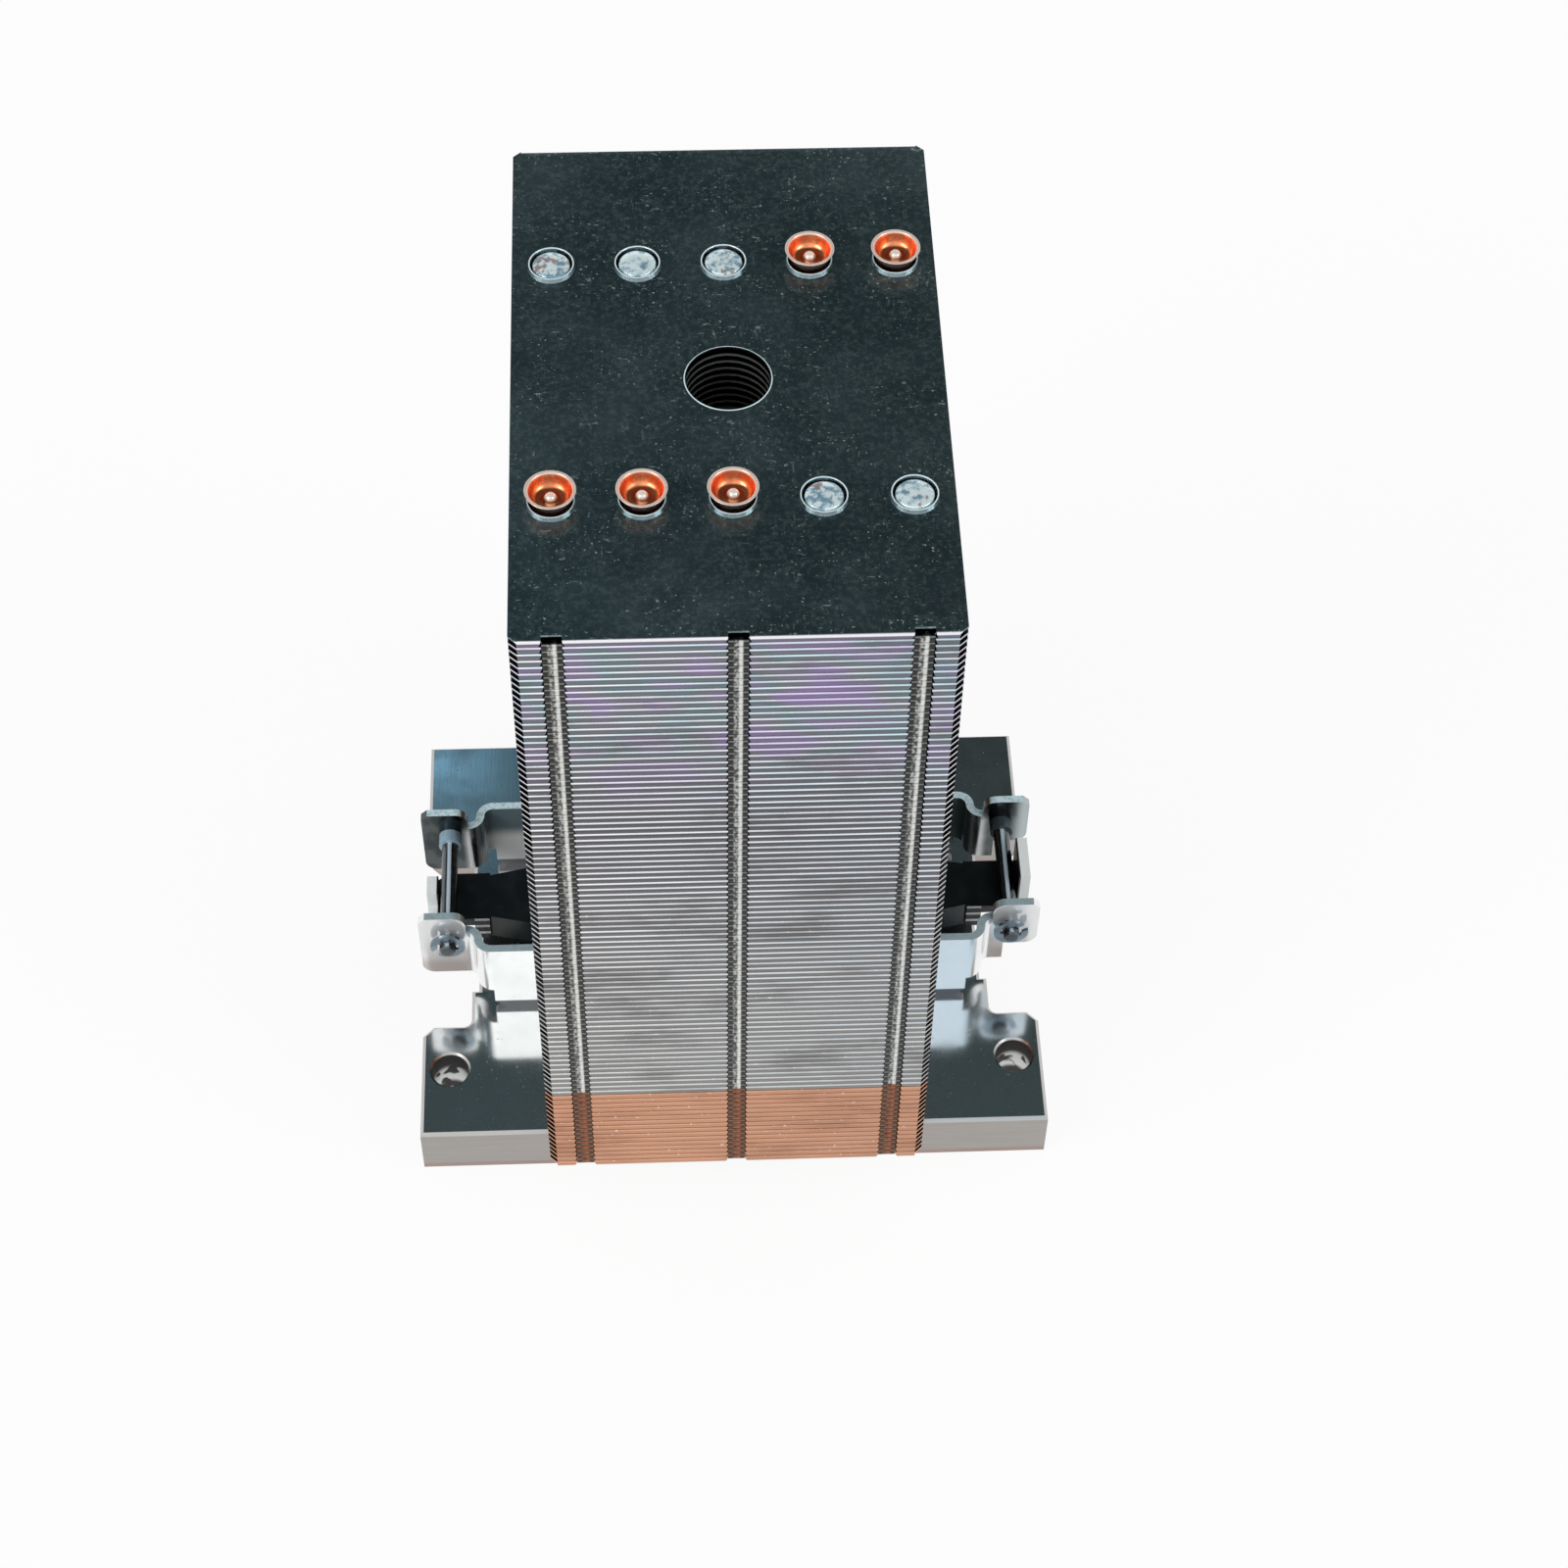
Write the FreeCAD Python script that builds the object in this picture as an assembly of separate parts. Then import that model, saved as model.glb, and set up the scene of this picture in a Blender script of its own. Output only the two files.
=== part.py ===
import FreeCAD, Part
import math
import os

# Passive CPU heatsink for a tall server chassis.
# Millimetres.  +Z is up, +X is the way the air flows, +Y is towards the rear.
# The origin is the centre of the flat underside that sits on the processor.

# ---- driving dimensions -------------------------------------------------

# base plate
plate_width = 115.0
plate_depth = 89.2
plate_thick = 11.2
plate_edge_break = 0.6
wing_length = 9.0
waist_step = 1.3
waist_opening = 42.0
waist_step_opening = 26.4
wing_corner_cut = 2.0
waist_fillet = 1.6
guide_hole_dia = 6.8
guide_hole_inset = 5.2
guide_hole_front_inset = 14.0
guide_hole_break = 0.4

# contact block let into the underside of the plate
block_width = 76.0
block_depth = 64.0
block_thick = 4.6

# fin stack
stack_width = 67.4
stack_depth = 104.0
fin_pitch = 1.5
fin_sheet = 0.4
copper_fin_count = 16
aluminium_fin_count = 83
flange_slant = 0.3
flange_wall = 1.4
key_slot_spacing = 27.3
key_slot_width = 2.6
key_slot_depth = 1.0
access_hole_dia = 13.4
access_hole_sides = 8

# heat pipes
pipe_dia = 6.0
pipe_rows = 50.2
pipe_pitch = 13.7
pipe_count = 5
front_fill_ends = 3
pipe_bend_radius = 12.0
pipe_wall = 0.5
collar_wall = 0.5
collar_height = 0.8
closed_end_rise = 1.0
closed_end_flat_dia = 2.4
fill_end_rise = 3.1
fill_end_flare = 1.0
fill_cone_dia = 2.8
fill_cone_drop = 1.2

# loading cage: two folded side brackets, two cross pins, two clips
cage_width = 34.0
bracket_sheet = 1.5
bracket_height = 18.3
ear_setback = 0.3
joggle_run = 4.6
ear_inset = 4.5
ear_length = 8.6
ear_top = 22.6
tall_ear_bottom = 5.6
short_ear_bottom = 10.4
ear_corner = 2.4
bracket_foot_cut = 2.0
pin_dia = 3.0
pin_height = 16.2
pin_inset = 5.2
pin_shoulder_dia = 4.2
pin_shoulder_length = 2.4
pin_proud = 2.9
pin_tip_chamfer = 0.3
clip_gap = 1.2
clip_sheet = 0.6
clip_dia = 6.4
clip_groove_dia = 2.2
clip_mouth = 1.7
clip_relief = 0.5
clip_lug_width = 1.4
left_clip_turn = 230.0
right_clip_turn = 60.0

# leaf springs and their load screw
leaf_count = 3
leaf_thick = 2.1
leaf_top = 12.0
leaf_hub_dia = 28.0
leaf_end_width = 9.4
leaf_tab_width = 10.4
leaf_tab_length = 2.8
leaf_end_inset = 4.5
hook_sheet = 2.1
narrow_hook_width = 4.0
narrow_hook_top = 15.9
wide_hook_width = 9.0
wide_hook_top = 20.1
hook_overreach = 4.2
hook_taper_start = 3.6
hook_taper_margin = 0.5
nut_flange_dia = 20.0
nut_spigot_dia = 12.0
nut_spigot_top = 14.0
washer_dia = 18.0
washer_thick = 1.0
ring_thick = 0.8
ring_dia = 14.0
ring_groove_depth = 0.5
ring_gap = 3.0
screw_dia = 8.0
screw_seat_depth = 2.0
screw_head_dia = 13.0
screw_head_height = 6.2
hex_across_flats = 8.0
hex_depth = 4.6
screw_head_chamfer = 0.5

# clearances
block_fit = 0.1
hole_fit = 0.15
running_fit = 0.05
cage_side_clear = 1.2
lift_travel = 2.5
lift_spare = 0.25

# ---- values that follow -------------------------------------------------

plate_top = plate_thick
half_waist = plate_width / 2 - wing_length
guide_hole_x = plate_width / 2 - guide_hole_inset
guide_hole_y = -(plate_depth / 2 - guide_hole_front_inset)
ear_end_x = plate_width / 2 - ear_setback
joggle_end_x = ear_end_x - ear_length
joggle_start_x = joggle_end_x - joggle_run
pin_x = ear_end_x - pin_inset
leaf_end_x = pin_x - leaf_end_inset
hook_end_x = pin_x + hook_overreach
copper_top = plate_top + copper_fin_count * fin_pitch
stack_top = copper_top + (aluminium_fin_count + 1) * fin_pitch
tunnel_width = cage_width + 2 * cage_side_clear
pipe_axis_z = block_thick
bend_corner = pipe_bend_radius * (1 - math.tan(math.pi / 8))
row_y = pipe_rows / 2
pin_z = plate_top + pin_height
leaf_top_z = plate_top + leaf_top
leaf_stack_bottom = leaf_top_z - leaf_count * leaf_thick
nut_bottom = plate_top + lift_spare
wall_outer_y = cage_width / 2
ear_outer_y = wall_outer_y - ear_inset
pipe_xs = [(i - (pipe_count - 1) / 2) * pipe_pitch for i in range(pipe_count)]
hex_sides = 6
mitred = 1
shoulder_share = 0.7
cutter_spare = 1.0
tiny = 0.01

parts_folder = "parts"
os.makedirs(parts_folder, exist_ok=True)


# ---- small helpers ------------------------------------------------------

def vec(x, y, z):
    return FreeCAD.Vector(x, y, z)


def block(x0, x1, y0, y1, z0, z1):
    return Part.makeBox(x1 - x0, y1 - y0, z1 - z0, vec(x0, y0, z0))


def rod(radius, z0, z1, x=0.0, y=0.0):
    return Part.makeCylinder(radius, z1 - z0, vec(x, y, z0), vec(0, 0, 1))


def rod_y(radius, y0, y1, x, z):
    return Part.makeCylinder(radius, y1 - y0, vec(x, y0, z), vec(0, 1, 0))


def face_of(points):
    return Part.Face(Part.makePolygon([vec(*p) for p in points] + [vec(*points[0])]))


def prism_z(outline, z0, z1):
    return face_of([(x, y, z0) for x, y in outline]).extrude(vec(0, 0, z1 - z0))


def polygon_prism(across_corners, sides, z0, z1):
    turn = math.pi / sides
    points = []
    for i in range(sides):
        angle = turn + i * 2 * turn
        points.append((across_corners / 2 * math.cos(angle), across_corners / 2 * math.sin(angle)))
    return prism_z(points, z0, z1)


def mirrored(shape, normal):
    return shape.mirror(vec(0, 0, 0), normal)


def edges_at(shape, test):
    return [edge for edge in shape.Edges if test(edge)]


def save(shape, name):
    shape.exportStep(os.path.join(parts_folder, name + ".step"))
    print(name, len(shape.Solids), "solid", round(shape.Volume, 1), "mm3", shape.isValid())


# ---- base plate ---------------------------------------------------------

def plate_outline():
    half_w = plate_width / 2
    half_d = plate_depth / 2
    half_inner = half_waist - waist_step
    half_open = waist_opening / 2
    half_step = waist_step_opening / 2
    quarter = [
        (half_w, half_d),
        (half_w, half_open + wing_corner_cut),
        (half_w - wing_corner_cut, half_open),
        (half_waist, half_open),
        (half_waist, half_step),
        (half_inner, half_step),
    ]
    right = quarter + [(x, -y) for x, y in reversed(quarter)]
    return right + [(-x, -y) for x, y in right]


def pipe_tube(x, diameter):
    """One U-shaped heat pipe without its end forms, each bend mitred over one slope."""
    low = pipe_axis_z
    high = low + bend_corner
    start = vec(x, -row_y, stack_top)
    path = Part.makePolygon([
        start, vec(x, -row_y, high), vec(x, bend_corner - row_y, low),
        vec(x, row_y - bend_corner, low), vec(x, row_y, high), vec(x, row_y, stack_top)])
    section = Part.Wire(Part.makeCircle(diameter / 2, start, vec(0, 0, 1)))
    return path.makePipeShell([section], True, False, mitred)


def run_groove(x, half_length):
    """Straight ball-nosed groove that holds the level run of one pipe."""
    return rod_y(pipe_dia / 2 + hole_fit, -half_length, half_length, x, pipe_axis_z)


def riser_slot(x, side):
    """Milled slot in which one pipe bends up out of the plate.

    Its sloping inner end runs beside the slope of the bend.
    """
    half = pipe_dia / 2 + hole_fit
    groove_top = pipe_axis_z + half
    start_y = row_y - bend_corner - half * (math.sqrt(2) - 1)
    exit_y = start_y + plate_thick - groove_top
    points = [(start_y, 0), (start_y, groove_top), (exit_y, plate_thick),
              (row_y, plate_thick), (row_y, 0)]
    outline = [(x - half, side * y, z) for y, z in points]
    slot = face_of(outline).extrude(vec(2 * half, 0, 0))
    return slot.fuse(rod(half, 0, plate_thick, x, side * row_y))


def plate_corner_edges(plate):
    """The upright inside corners where the wings meet the waist."""
    half_open = waist_opening / 2

    def is_corner(edge):
        box = edge.BoundBox
        upright = box.ZLength > plate_thick / 2 and box.XLength + box.YLength < tiny
        at_x = abs(abs(box.XMin) - half_waist) < tiny
        return upright and at_x and abs(abs(box.YMin) - half_open) < tiny

    return edges_at(plate, is_corner)


def make_base_plate():
    plate = prism_z(plate_outline(), 0, plate_thick)
    plate = plate.makeFillet(waist_fillet, plate_corner_edges(plate))
    rim = edges_at(plate, lambda e: e.BoundBox.ZMin > plate_thick - tiny)
    plate = plate.makeChamfer(plate_edge_break, rim)
    r = guide_hole_dia / 2
    for side in (-1, 1):
        x = side * guide_hole_x
        y = guide_hole_y
        lead = Part.makeCone(r, r + guide_hole_break, guide_hole_break,
                             vec(x, y, plate_thick - guide_hole_break))
        plate = plate.cut([rod(r, 0, plate_thick, x, y), lead])
    half_w = block_width / 2 + block_fit
    half_d = block_depth / 2 + block_fit
    plate = plate.cut(block(-half_w, half_w, -half_d, half_d, 0, block_thick))
    plate = plate.cut(rod(screw_dia / 2 + hole_fit, plate_thick - screw_seat_depth, plate_thick))
    for x in pipe_xs:
        plate = plate.cut([run_groove(x, row_y - bend_corner),
                           riser_slot(x, -1), riser_slot(x, 1)])
    return plate


def make_contact_block():
    shape = block(-block_width / 2, block_width / 2, -block_depth / 2, block_depth / 2,
                  0, block_thick - block_fit)
    return shape.cut([run_groove(x, row_y) for x in pipe_xs])


# ---- fin stack ----------------------------------------------------------

def fin_pack(y0, y1, z0, count, saw_front, saw_rear, front_wall, rear_wall):
    """A pack of folded fins, joined where each flange meets the fin below.

    A saw side leans out a little at each fin, as its folded flange does.
    """
    front = []
    rear = []
    for i in range(count):
        low = z0 + i * fin_pitch
        high = low + fin_pitch
        front += [(y0 + (flange_slant if saw_front else 0), low), (y0, high)]
        rear += [(y1 - (flange_slant if saw_rear else 0), low), (y1, high)]
    if not saw_front:
        front = [front[0], front[-1]]
    if not saw_rear:
        rear = [rear[0], rear[-1]]
    x0 = -stack_width / 2
    x1 = stack_width / 2
    outline = [(x0, y, z) for y, z in front + rear[::-1]]
    pack = face_of(outline).extrude(vec(stack_width, 0, 0))
    gaps = []
    for i in range(count):
        low = z0 + i * fin_pitch
        gaps.append(block(x0, x1, y0 + front_wall, y1 - rear_wall, low, low + fin_pitch - fin_sheet))
    return pack.cut(gaps)


def key_slots(y_face, inward, z0, z1):
    """The three grooves left where the fins' locking tongues sit."""
    cuts = []
    half = key_slot_width / 2
    y_in = y_face + inward * key_slot_depth
    y_out = y_face - inward * cutter_spare
    for i in (-1, 0, 1):
        x = i * key_slot_spacing
        cuts.append(block(x - half, x + half, min(y_out, y_in), max(y_out, y_in), z0, z1))
    return cuts


def make_aluminium_fins():
    z1 = copper_top + aluminium_fin_count * fin_pitch
    pack = fin_pack(-stack_depth / 2, stack_depth / 2, copper_top, aluminium_fin_count,
                    True, True, flange_wall, flange_wall)
    cuts = key_slots(-stack_depth / 2, 1, copper_top, z1)
    cuts += key_slots(stack_depth / 2, -1, copper_top, z1)
    across = access_hole_dia / math.cos(math.pi / access_hole_sides)
    cuts.append(polygon_prism(across, access_hole_sides, copper_top, z1))
    return pack.cut(cuts)


def make_copper_fins(side):
    outer = stack_depth / 2
    inner = tunnel_width / 2
    if side < 0:
        pack = fin_pack(-outer, -inner, plate_top, copper_fin_count, True, False,
                        flange_wall, fin_sheet)
        return pack.cut(key_slots(-outer, 1, plate_top, copper_top))
    pack = fin_pack(inner, outer, plate_top, copper_fin_count, False, True, fin_sheet, flange_wall)
    return pack.cut(key_slots(outer, -1, plate_top, copper_top))


def make_top_fin():
    z1 = stack_top
    z0 = z1 - fin_pitch
    half = stack_depth / 2
    section = [
        (-half + flange_slant, z0), (-half, z1), (half, z1), (half - flange_slant, z0),
        (half - flange_slant - fin_sheet, z0), (half - fin_sheet, z1 - fin_sheet),
        (-half + fin_sheet, z1 - fin_sheet), (-half + flange_slant + fin_sheet, z0),
    ]
    fin = face_of([(-stack_width / 2, y, z) for y, z in section]).extrude(vec(stack_width, 0, 0))
    cuts = key_slots(-half, 1, z0, z1) + key_slots(half, -1, z0, z1)
    cuts.append(rod(access_hole_dia / 2, z0, z1))
    fin = fin.cut(cuts)
    bore = pipe_dia / 2 + hole_fit
    for x in pipe_xs:
        for side in (-1, 1):
            fin = fin.fuse(rod(bore + collar_wall, z1 - fin_sheet, z1 + collar_height,
                               x, side * row_y))
            fin = fin.cut(rod(bore, z0, z1 + collar_height, x, side * row_y))
    return fin.removeSplitter()


# ---- heat pipes ---------------------------------------------------------

def closed_end(x, y):
    """Blunt domed end of a pipe, drawn in over two cones to a small flat."""
    half = pipe_dia / 2
    flat = closed_end_flat_dia / 2
    shoulder = (half + flat) / 2
    base = vec(x, y, stack_top)
    lower = Part.makeCone(half, shoulder, closed_end_rise * shoulder_share, base)
    upper = Part.makeCone(shoulder, flat, closed_end_rise * (1 - shoulder_share),
                          base + vec(0, 0, closed_end_rise * shoulder_share))
    return lower.fuse(upper)


def fill_end(x, y):
    """Flared end of a pipe, a thin cup round the pinched-off filling tip."""
    half = pipe_dia / 2
    flare = half + fill_end_flare
    lip_z = stack_top + fill_end_rise
    floor_z = stack_top + collar_height
    tip_z = lip_z - fill_cone_drop
    profile = [
        (0, stack_top), (half, stack_top), (half, floor_z), (flare, lip_z),
        (flare - pipe_wall, lip_z), (half - pipe_wall, floor_z),
        (fill_cone_dia / 2, floor_z), (fill_cone_dia / 4, tip_z), (0, tip_z),
    ]
    face = face_of([(x + r, y, z) for r, z in profile])
    return face.revolve(vec(x, y, 0), vec(0, 0, 1), 360)


def make_heat_pipe(index):
    """Pipes lie alternately: three fill ends in the front row, two in the rear."""
    x = pipe_xs[index]
    fill_side = -1 if index < front_fill_ends else 1
    pipe = pipe_tube(x, pipe_dia)
    pipe = pipe.fuse(fill_end(x, fill_side * row_y))
    pipe = pipe.fuse(closed_end(x, -fill_side * row_y))
    return pipe.removeSplitter()


# ---- loading cage -------------------------------------------------------

def joggle_edges(y_wall, y_ear, offset):
    """S-bend between wall and ear: two equal arcs, one face of the sheet.

    The middle of the sheet follows arcs of one radius, and offset is how far
    this face lies outside the middle.
    """
    half_turn = math.atan2(ear_inset, joggle_run)
    turn = 2 * half_turn
    radius = joggle_run / (2 * math.sin(turn))
    xs = joggle_start_x
    xe = joggle_end_x
    first_centre = vec(xs, y_wall - radius, 0)
    second_centre = vec(xe, y_ear + radius, 0)

    def on_arc(centre, r, angle):
        return centre + vec(r * math.sin(angle), r * math.cos(angle), 0)

    r1 = radius + offset
    r2 = radius - offset
    first = Part.Arc(on_arc(first_centre, r1, 0), on_arc(first_centre, r1, half_turn),
                     on_arc(first_centre, r1, turn))
    second = Part.Arc(on_arc(second_centre, -r2, turn), on_arc(second_centre, -r2, half_turn),
                      on_arc(second_centre, -r2, 0))
    return [first.toShape(), second.toShape()]


def bracket_plan():
    """Half plan of the rear bracket: straight wall, S-shaped joggle, ear."""
    half = bracket_sheet / 2
    wall_mid = wall_outer_y - half
    ear_mid = ear_outer_y - half

    def straight(x0, y0, x1, y1):
        return Part.LineSegment(vec(x0, y0, 0), vec(x1, y1, 0)).toShape()

    edges = [
        straight(0, wall_mid + half, joggle_start_x, wall_mid + half),
        straight(joggle_end_x, ear_mid + half, ear_end_x, ear_mid + half),
        straight(ear_end_x, ear_mid + half, ear_end_x, ear_mid - half),
        straight(ear_end_x, ear_mid - half, joggle_end_x, ear_mid - half),
        straight(joggle_start_x, wall_mid - half, 0, wall_mid - half),
        straight(0, wall_mid - half, 0, wall_mid + half),
    ]
    edges += joggle_edges(wall_mid, ear_mid, half) + joggle_edges(wall_mid, ear_mid, -half)
    return Part.Face(Part.Wire(Part.__sortEdges__(edges)))


def bracket_blank(ear_bottom):
    """Side outline of half a bracket, with the round-cornered ear at its end."""
    xs = joggle_start_x
    xe = joggle_end_x
    end_x = ear_end_x
    r = ear_corner
    arc = math.sqrt(0.5) * r
    top = plate_top + ear_top
    wall_top = plate_top + bracket_height
    neck = plate_top + tall_ear_bottom
    low = plate_top + ear_bottom
    corners = [
        (0, plate_top), (xs - bracket_foot_cut, plate_top), (xs, plate_top + bracket_foot_cut),
        (xs, neck), (xe + r, neck),
    ]
    if ear_bottom > tall_ear_bottom:
        corners.append((xe + r, low))
    corners += [
        (end_x - r, low), (end_x - r + arc, low + r - arc), (end_x, low + r),
        (end_x, top - r / 2), (end_x - r / 2, top),
        (xe + r, top), (xe + r - arc, top - r + arc), (xe, top - r),
        (xe, wall_top), (0, wall_top),
    ]
    points = [vec(x, 0, z) for x, z in corners]
    arc_starts = (vec(end_x - r, 0, low), vec(xe + r, 0, top))
    lines = []
    i = 0
    while i < len(points):
        here = points[i]
        is_arc = any(here.distanceToPoint(start) < tiny for start in arc_starts)
        if is_arc:
            lines.append(Part.Arc(here, points[i + 1], points[i + 2]).toShape())
            i += 2
            continue
        lines.append(Part.LineSegment(here, points[(i + 1) % len(points)]).toShape())
        i += 1
    outline = Part.Face(Part.Wire(Part.__sortEdges__(lines)))
    return outline.extrude(vec(0, cage_width, 0))


def half_bracket(ear_bottom):
    """One half of the rear bracket, on the +X side."""
    shape = bracket_plan().extrude(vec(0, 0, plate_top + ear_top))
    shape = shape.common(bracket_blank(ear_bottom))
    return shape.cut(rod_y(pin_dia / 2 + hole_fit, 0, cage_width, pin_x, pin_z))


def make_rear_bracket():
    right = half_bracket(short_ear_bottom)
    left = mirrored(half_bracket(tall_ear_bottom), vec(1, 0, 0))
    return right.fuse(left).removeSplitter()


def make_front_bracket():
    return mirrored(make_rear_bracket(), vec(0, 1, 0))


def make_pin(side):
    """Cross pin: shoulder inside the rear ear, groove for the clip in front."""
    x = side * pin_x
    y_front = -(ear_outer_y + pin_proud)
    y_rear = ear_outer_y
    shoulder_y = ear_outer_y - bracket_sheet
    pin = rod_y(pin_dia / 2, y_front, y_rear, x, pin_z)
    pin = pin.fuse(rod_y(pin_shoulder_dia / 2, shoulder_y - pin_shoulder_length, shoulder_y,
                         x, pin_z))
    groove_y = -(ear_outer_y + clip_gap + clip_sheet)
    ring = rod_y(pin_dia, groove_y, groove_y + clip_sheet, x, pin_z)
    ring = ring.cut(rod_y(clip_groove_dia / 2, groove_y, groove_y + clip_sheet, x, pin_z))
    pin = pin.cut(ring)
    tip = edges_at(pin, lambda e: abs(e.BoundBox.YMax - y_front) < tiny)
    return pin.makeChamfer(pin_tip_chamfer, tip)


def make_clip(side, mouth_turn):
    """E-shaped retaining clip: three lugs on the groove, open on one side."""
    x = side * pin_x
    y1 = -(ear_outer_y + clip_gap)
    y0 = y1 - clip_sheet
    inner = clip_groove_dia / 2
    relief = pin_dia / 2 + clip_relief
    ring_middle = (relief + clip_dia / 2) / 2

    def spoke(width, z0, z1, turn):
        bar = block(-width / 2, width / 2, y0, y1, z0, z1)
        bar.rotate(vec(0, 0, 0), vec(0, 1, 0), turn)
        bar.translate(vec(x, 0, pin_z))
        return bar

    clip = rod_y(clip_dia / 2, y0, y1, x, pin_z).cut(rod_y(relief, y0, y1, x, pin_z))
    for turn in (90, 180, 270):
        clip = clip.fuse(spoke(clip_lug_width, inner, ring_middle, mouth_turn + turn))
    clip = clip.cut(spoke(clip_mouth, 0, clip_dia, mouth_turn))
    clip = clip.cut(rod_y(inner, y0, y1, x, pin_z))
    return clip.removeSplitter()


# ---- leaf springs and load screw ---------------------------------------

def leaf_blank(z0, z1):
    """Diamond-shaped leaf: a round hub that tapers to narrow tabbed ends."""
    tab = leaf_end_x - leaf_tab_length
    hub_half = leaf_hub_dia / 2
    end_half = leaf_end_width / 2
    reach = math.hypot(tab, end_half)
    tilt = math.atan2(end_half, tab) + math.acos(hub_half / reach)
    touch_x = hub_half * math.cos(tilt)
    touch_y = hub_half * math.sin(tilt)
    diamond = [(tab, -end_half), (tab, end_half), (touch_x, touch_y), (-touch_x, touch_y),
               (-tab, end_half), (-tab, -end_half), (-touch_x, -touch_y), (touch_x, -touch_y)]
    leaf = prism_z(diamond, z0, z1).fuse(rod(hub_half, z0, z1))
    for side in (-1, 1):
        near = min(side * tab, side * leaf_end_x)
        far = max(side * tab, side * leaf_end_x)
        leaf = leaf.fuse(block(near, far, -leaf_tab_width / 2, leaf_tab_width / 2, z0, z1))
    leaf = leaf.cut(rod(nut_spigot_dia / 2 + hole_fit, z0, z1))
    return leaf.removeSplitter()


def hook_end(side, lip_width, lip_top):
    """End of the top leaf: passes under the cross pin and turns up outside it."""
    z1 = leaf_top_z
    z0 = z1 - hook_sheet
    x0 = leaf_end_x
    x1 = hook_end_x
    half = leaf_tab_width / 2
    tongue = block(x0, x1, -half, half, z0, z1)
    lip = block(x1 - hook_sheet, x1, -lip_width / 2, lip_width / 2, z1, plate_top + lip_top)
    hook = tongue.fuse(lip)
    for flip in (1, -1):
        corner = [(x1 - hook_taper_start, flip * half), (x1, flip * half),
                  (x1, flip * (lip_width / 2 + hook_taper_margin))]
        hook = hook.cut(prism_z(corner, z0, z1))
    if side < 0:
        hook = mirrored(hook, vec(1, 0, 0))
    return hook


def make_leaf_spring(index):
    z1 = leaf_top_z - index * leaf_thick
    leaf = leaf_blank(z1 - leaf_thick, z1)
    if index == 0:
        leaf = leaf.fuse(hook_end(-1, narrow_hook_width, narrow_hook_top))
        leaf = leaf.fuse(hook_end(1, wide_hook_width, wide_hook_top))
    return leaf.removeSplitter()


def make_load_nut():
    top = plate_top + nut_spigot_top
    nut = rod(nut_flange_dia / 2, nut_bottom, leaf_stack_bottom)
    nut = nut.fuse(rod(nut_spigot_dia / 2, leaf_stack_bottom, top))
    groove_z = leaf_top_z + washer_thick
    ring = rod(nut_spigot_dia, groove_z, groove_z + ring_thick)
    ring = ring.cut(rod(nut_spigot_dia / 2 - ring_groove_depth, groove_z, groove_z + ring_thick))
    nut = nut.cut(ring)
    nut = nut.cut(rod(screw_dia / 2 + running_fit, nut_bottom, top))
    return nut.removeSplitter()


def make_pack_washer():
    z0 = leaf_top_z
    return rod(washer_dia / 2, z0, z0 + washer_thick).cut(
        rod(nut_spigot_dia / 2 + hole_fit, z0, z0 + washer_thick))


def make_snap_ring():
    z0 = leaf_top_z + washer_thick
    z1 = z0 + ring_thick
    ring = rod(ring_dia / 2, z0, z1)
    ring = ring.cut(rod(nut_spigot_dia / 2 - ring_groove_depth, z0, z1))
    return ring.cut(block(0, ring_dia, -ring_gap / 2, ring_gap / 2, z0, z1))


def make_load_screw():
    tip_z = plate_top - screw_seat_depth
    head_z = plate_top + nut_spigot_top + lift_travel + lift_spare
    head_top = head_z + screw_head_height
    screw = rod(screw_dia / 2, tip_z, head_z)
    head = rod(screw_head_dia / 2, head_z, head_top)
    rim = edges_at(head, lambda e: abs(e.BoundBox.ZMin - head_top) < tiny)
    head = head.makeChamfer(screw_head_chamfer, rim)
    across = hex_across_flats / math.cos(math.pi / hex_sides)
    socket = polygon_prism(across, hex_sides, head_top - hex_depth, head_top)
    return screw.fuse(head).cut(socket).removeSplitter()


# ---- write the parts ----------------------------------------------------

save(make_base_plate(), "base_plate")
save(make_contact_block(), "contact_block")
save(make_copper_fins(-1), "copper_fins_front")
save(make_copper_fins(1), "copper_fins_rear")
save(make_aluminium_fins(), "aluminium_fins")
save(make_top_fin(), "top_fin")
for number in range(pipe_count):
    save(make_heat_pipe(number), "heat_pipe_%d" % (number + 1))
save(make_front_bracket(), "front_bracket")
save(make_rear_bracket(), "rear_bracket")
save(make_pin(-1), "left_pin")
save(make_pin(1), "right_pin")
save(make_clip(-1, left_clip_turn), "left_pin_clip")
save(make_clip(1, right_clip_turn), "right_pin_clip")
for number in range(leaf_count):
    save(make_leaf_spring(number), "leaf_spring_%d" % (number + 1))
save(make_load_nut(), "load_nut")
save(make_pack_washer(), "pack_washer")
save(make_snap_ring(), "snap_ring")
save(make_load_screw(), "load_screw")
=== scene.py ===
# %% [markdown]
# # A tall passive heatsink for a server processor
# The real object is a stack of thin folded fins threaded on U-shaped heat
# pipes, over a thick plated base. A spring-loaded cage under the fins pulls
# the base down on the processor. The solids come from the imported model, in
# metres, and this lesson dresses them: it adds the fine folded edges and the
# pipe ends, and gives every surface a finish made of nodes.

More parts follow.
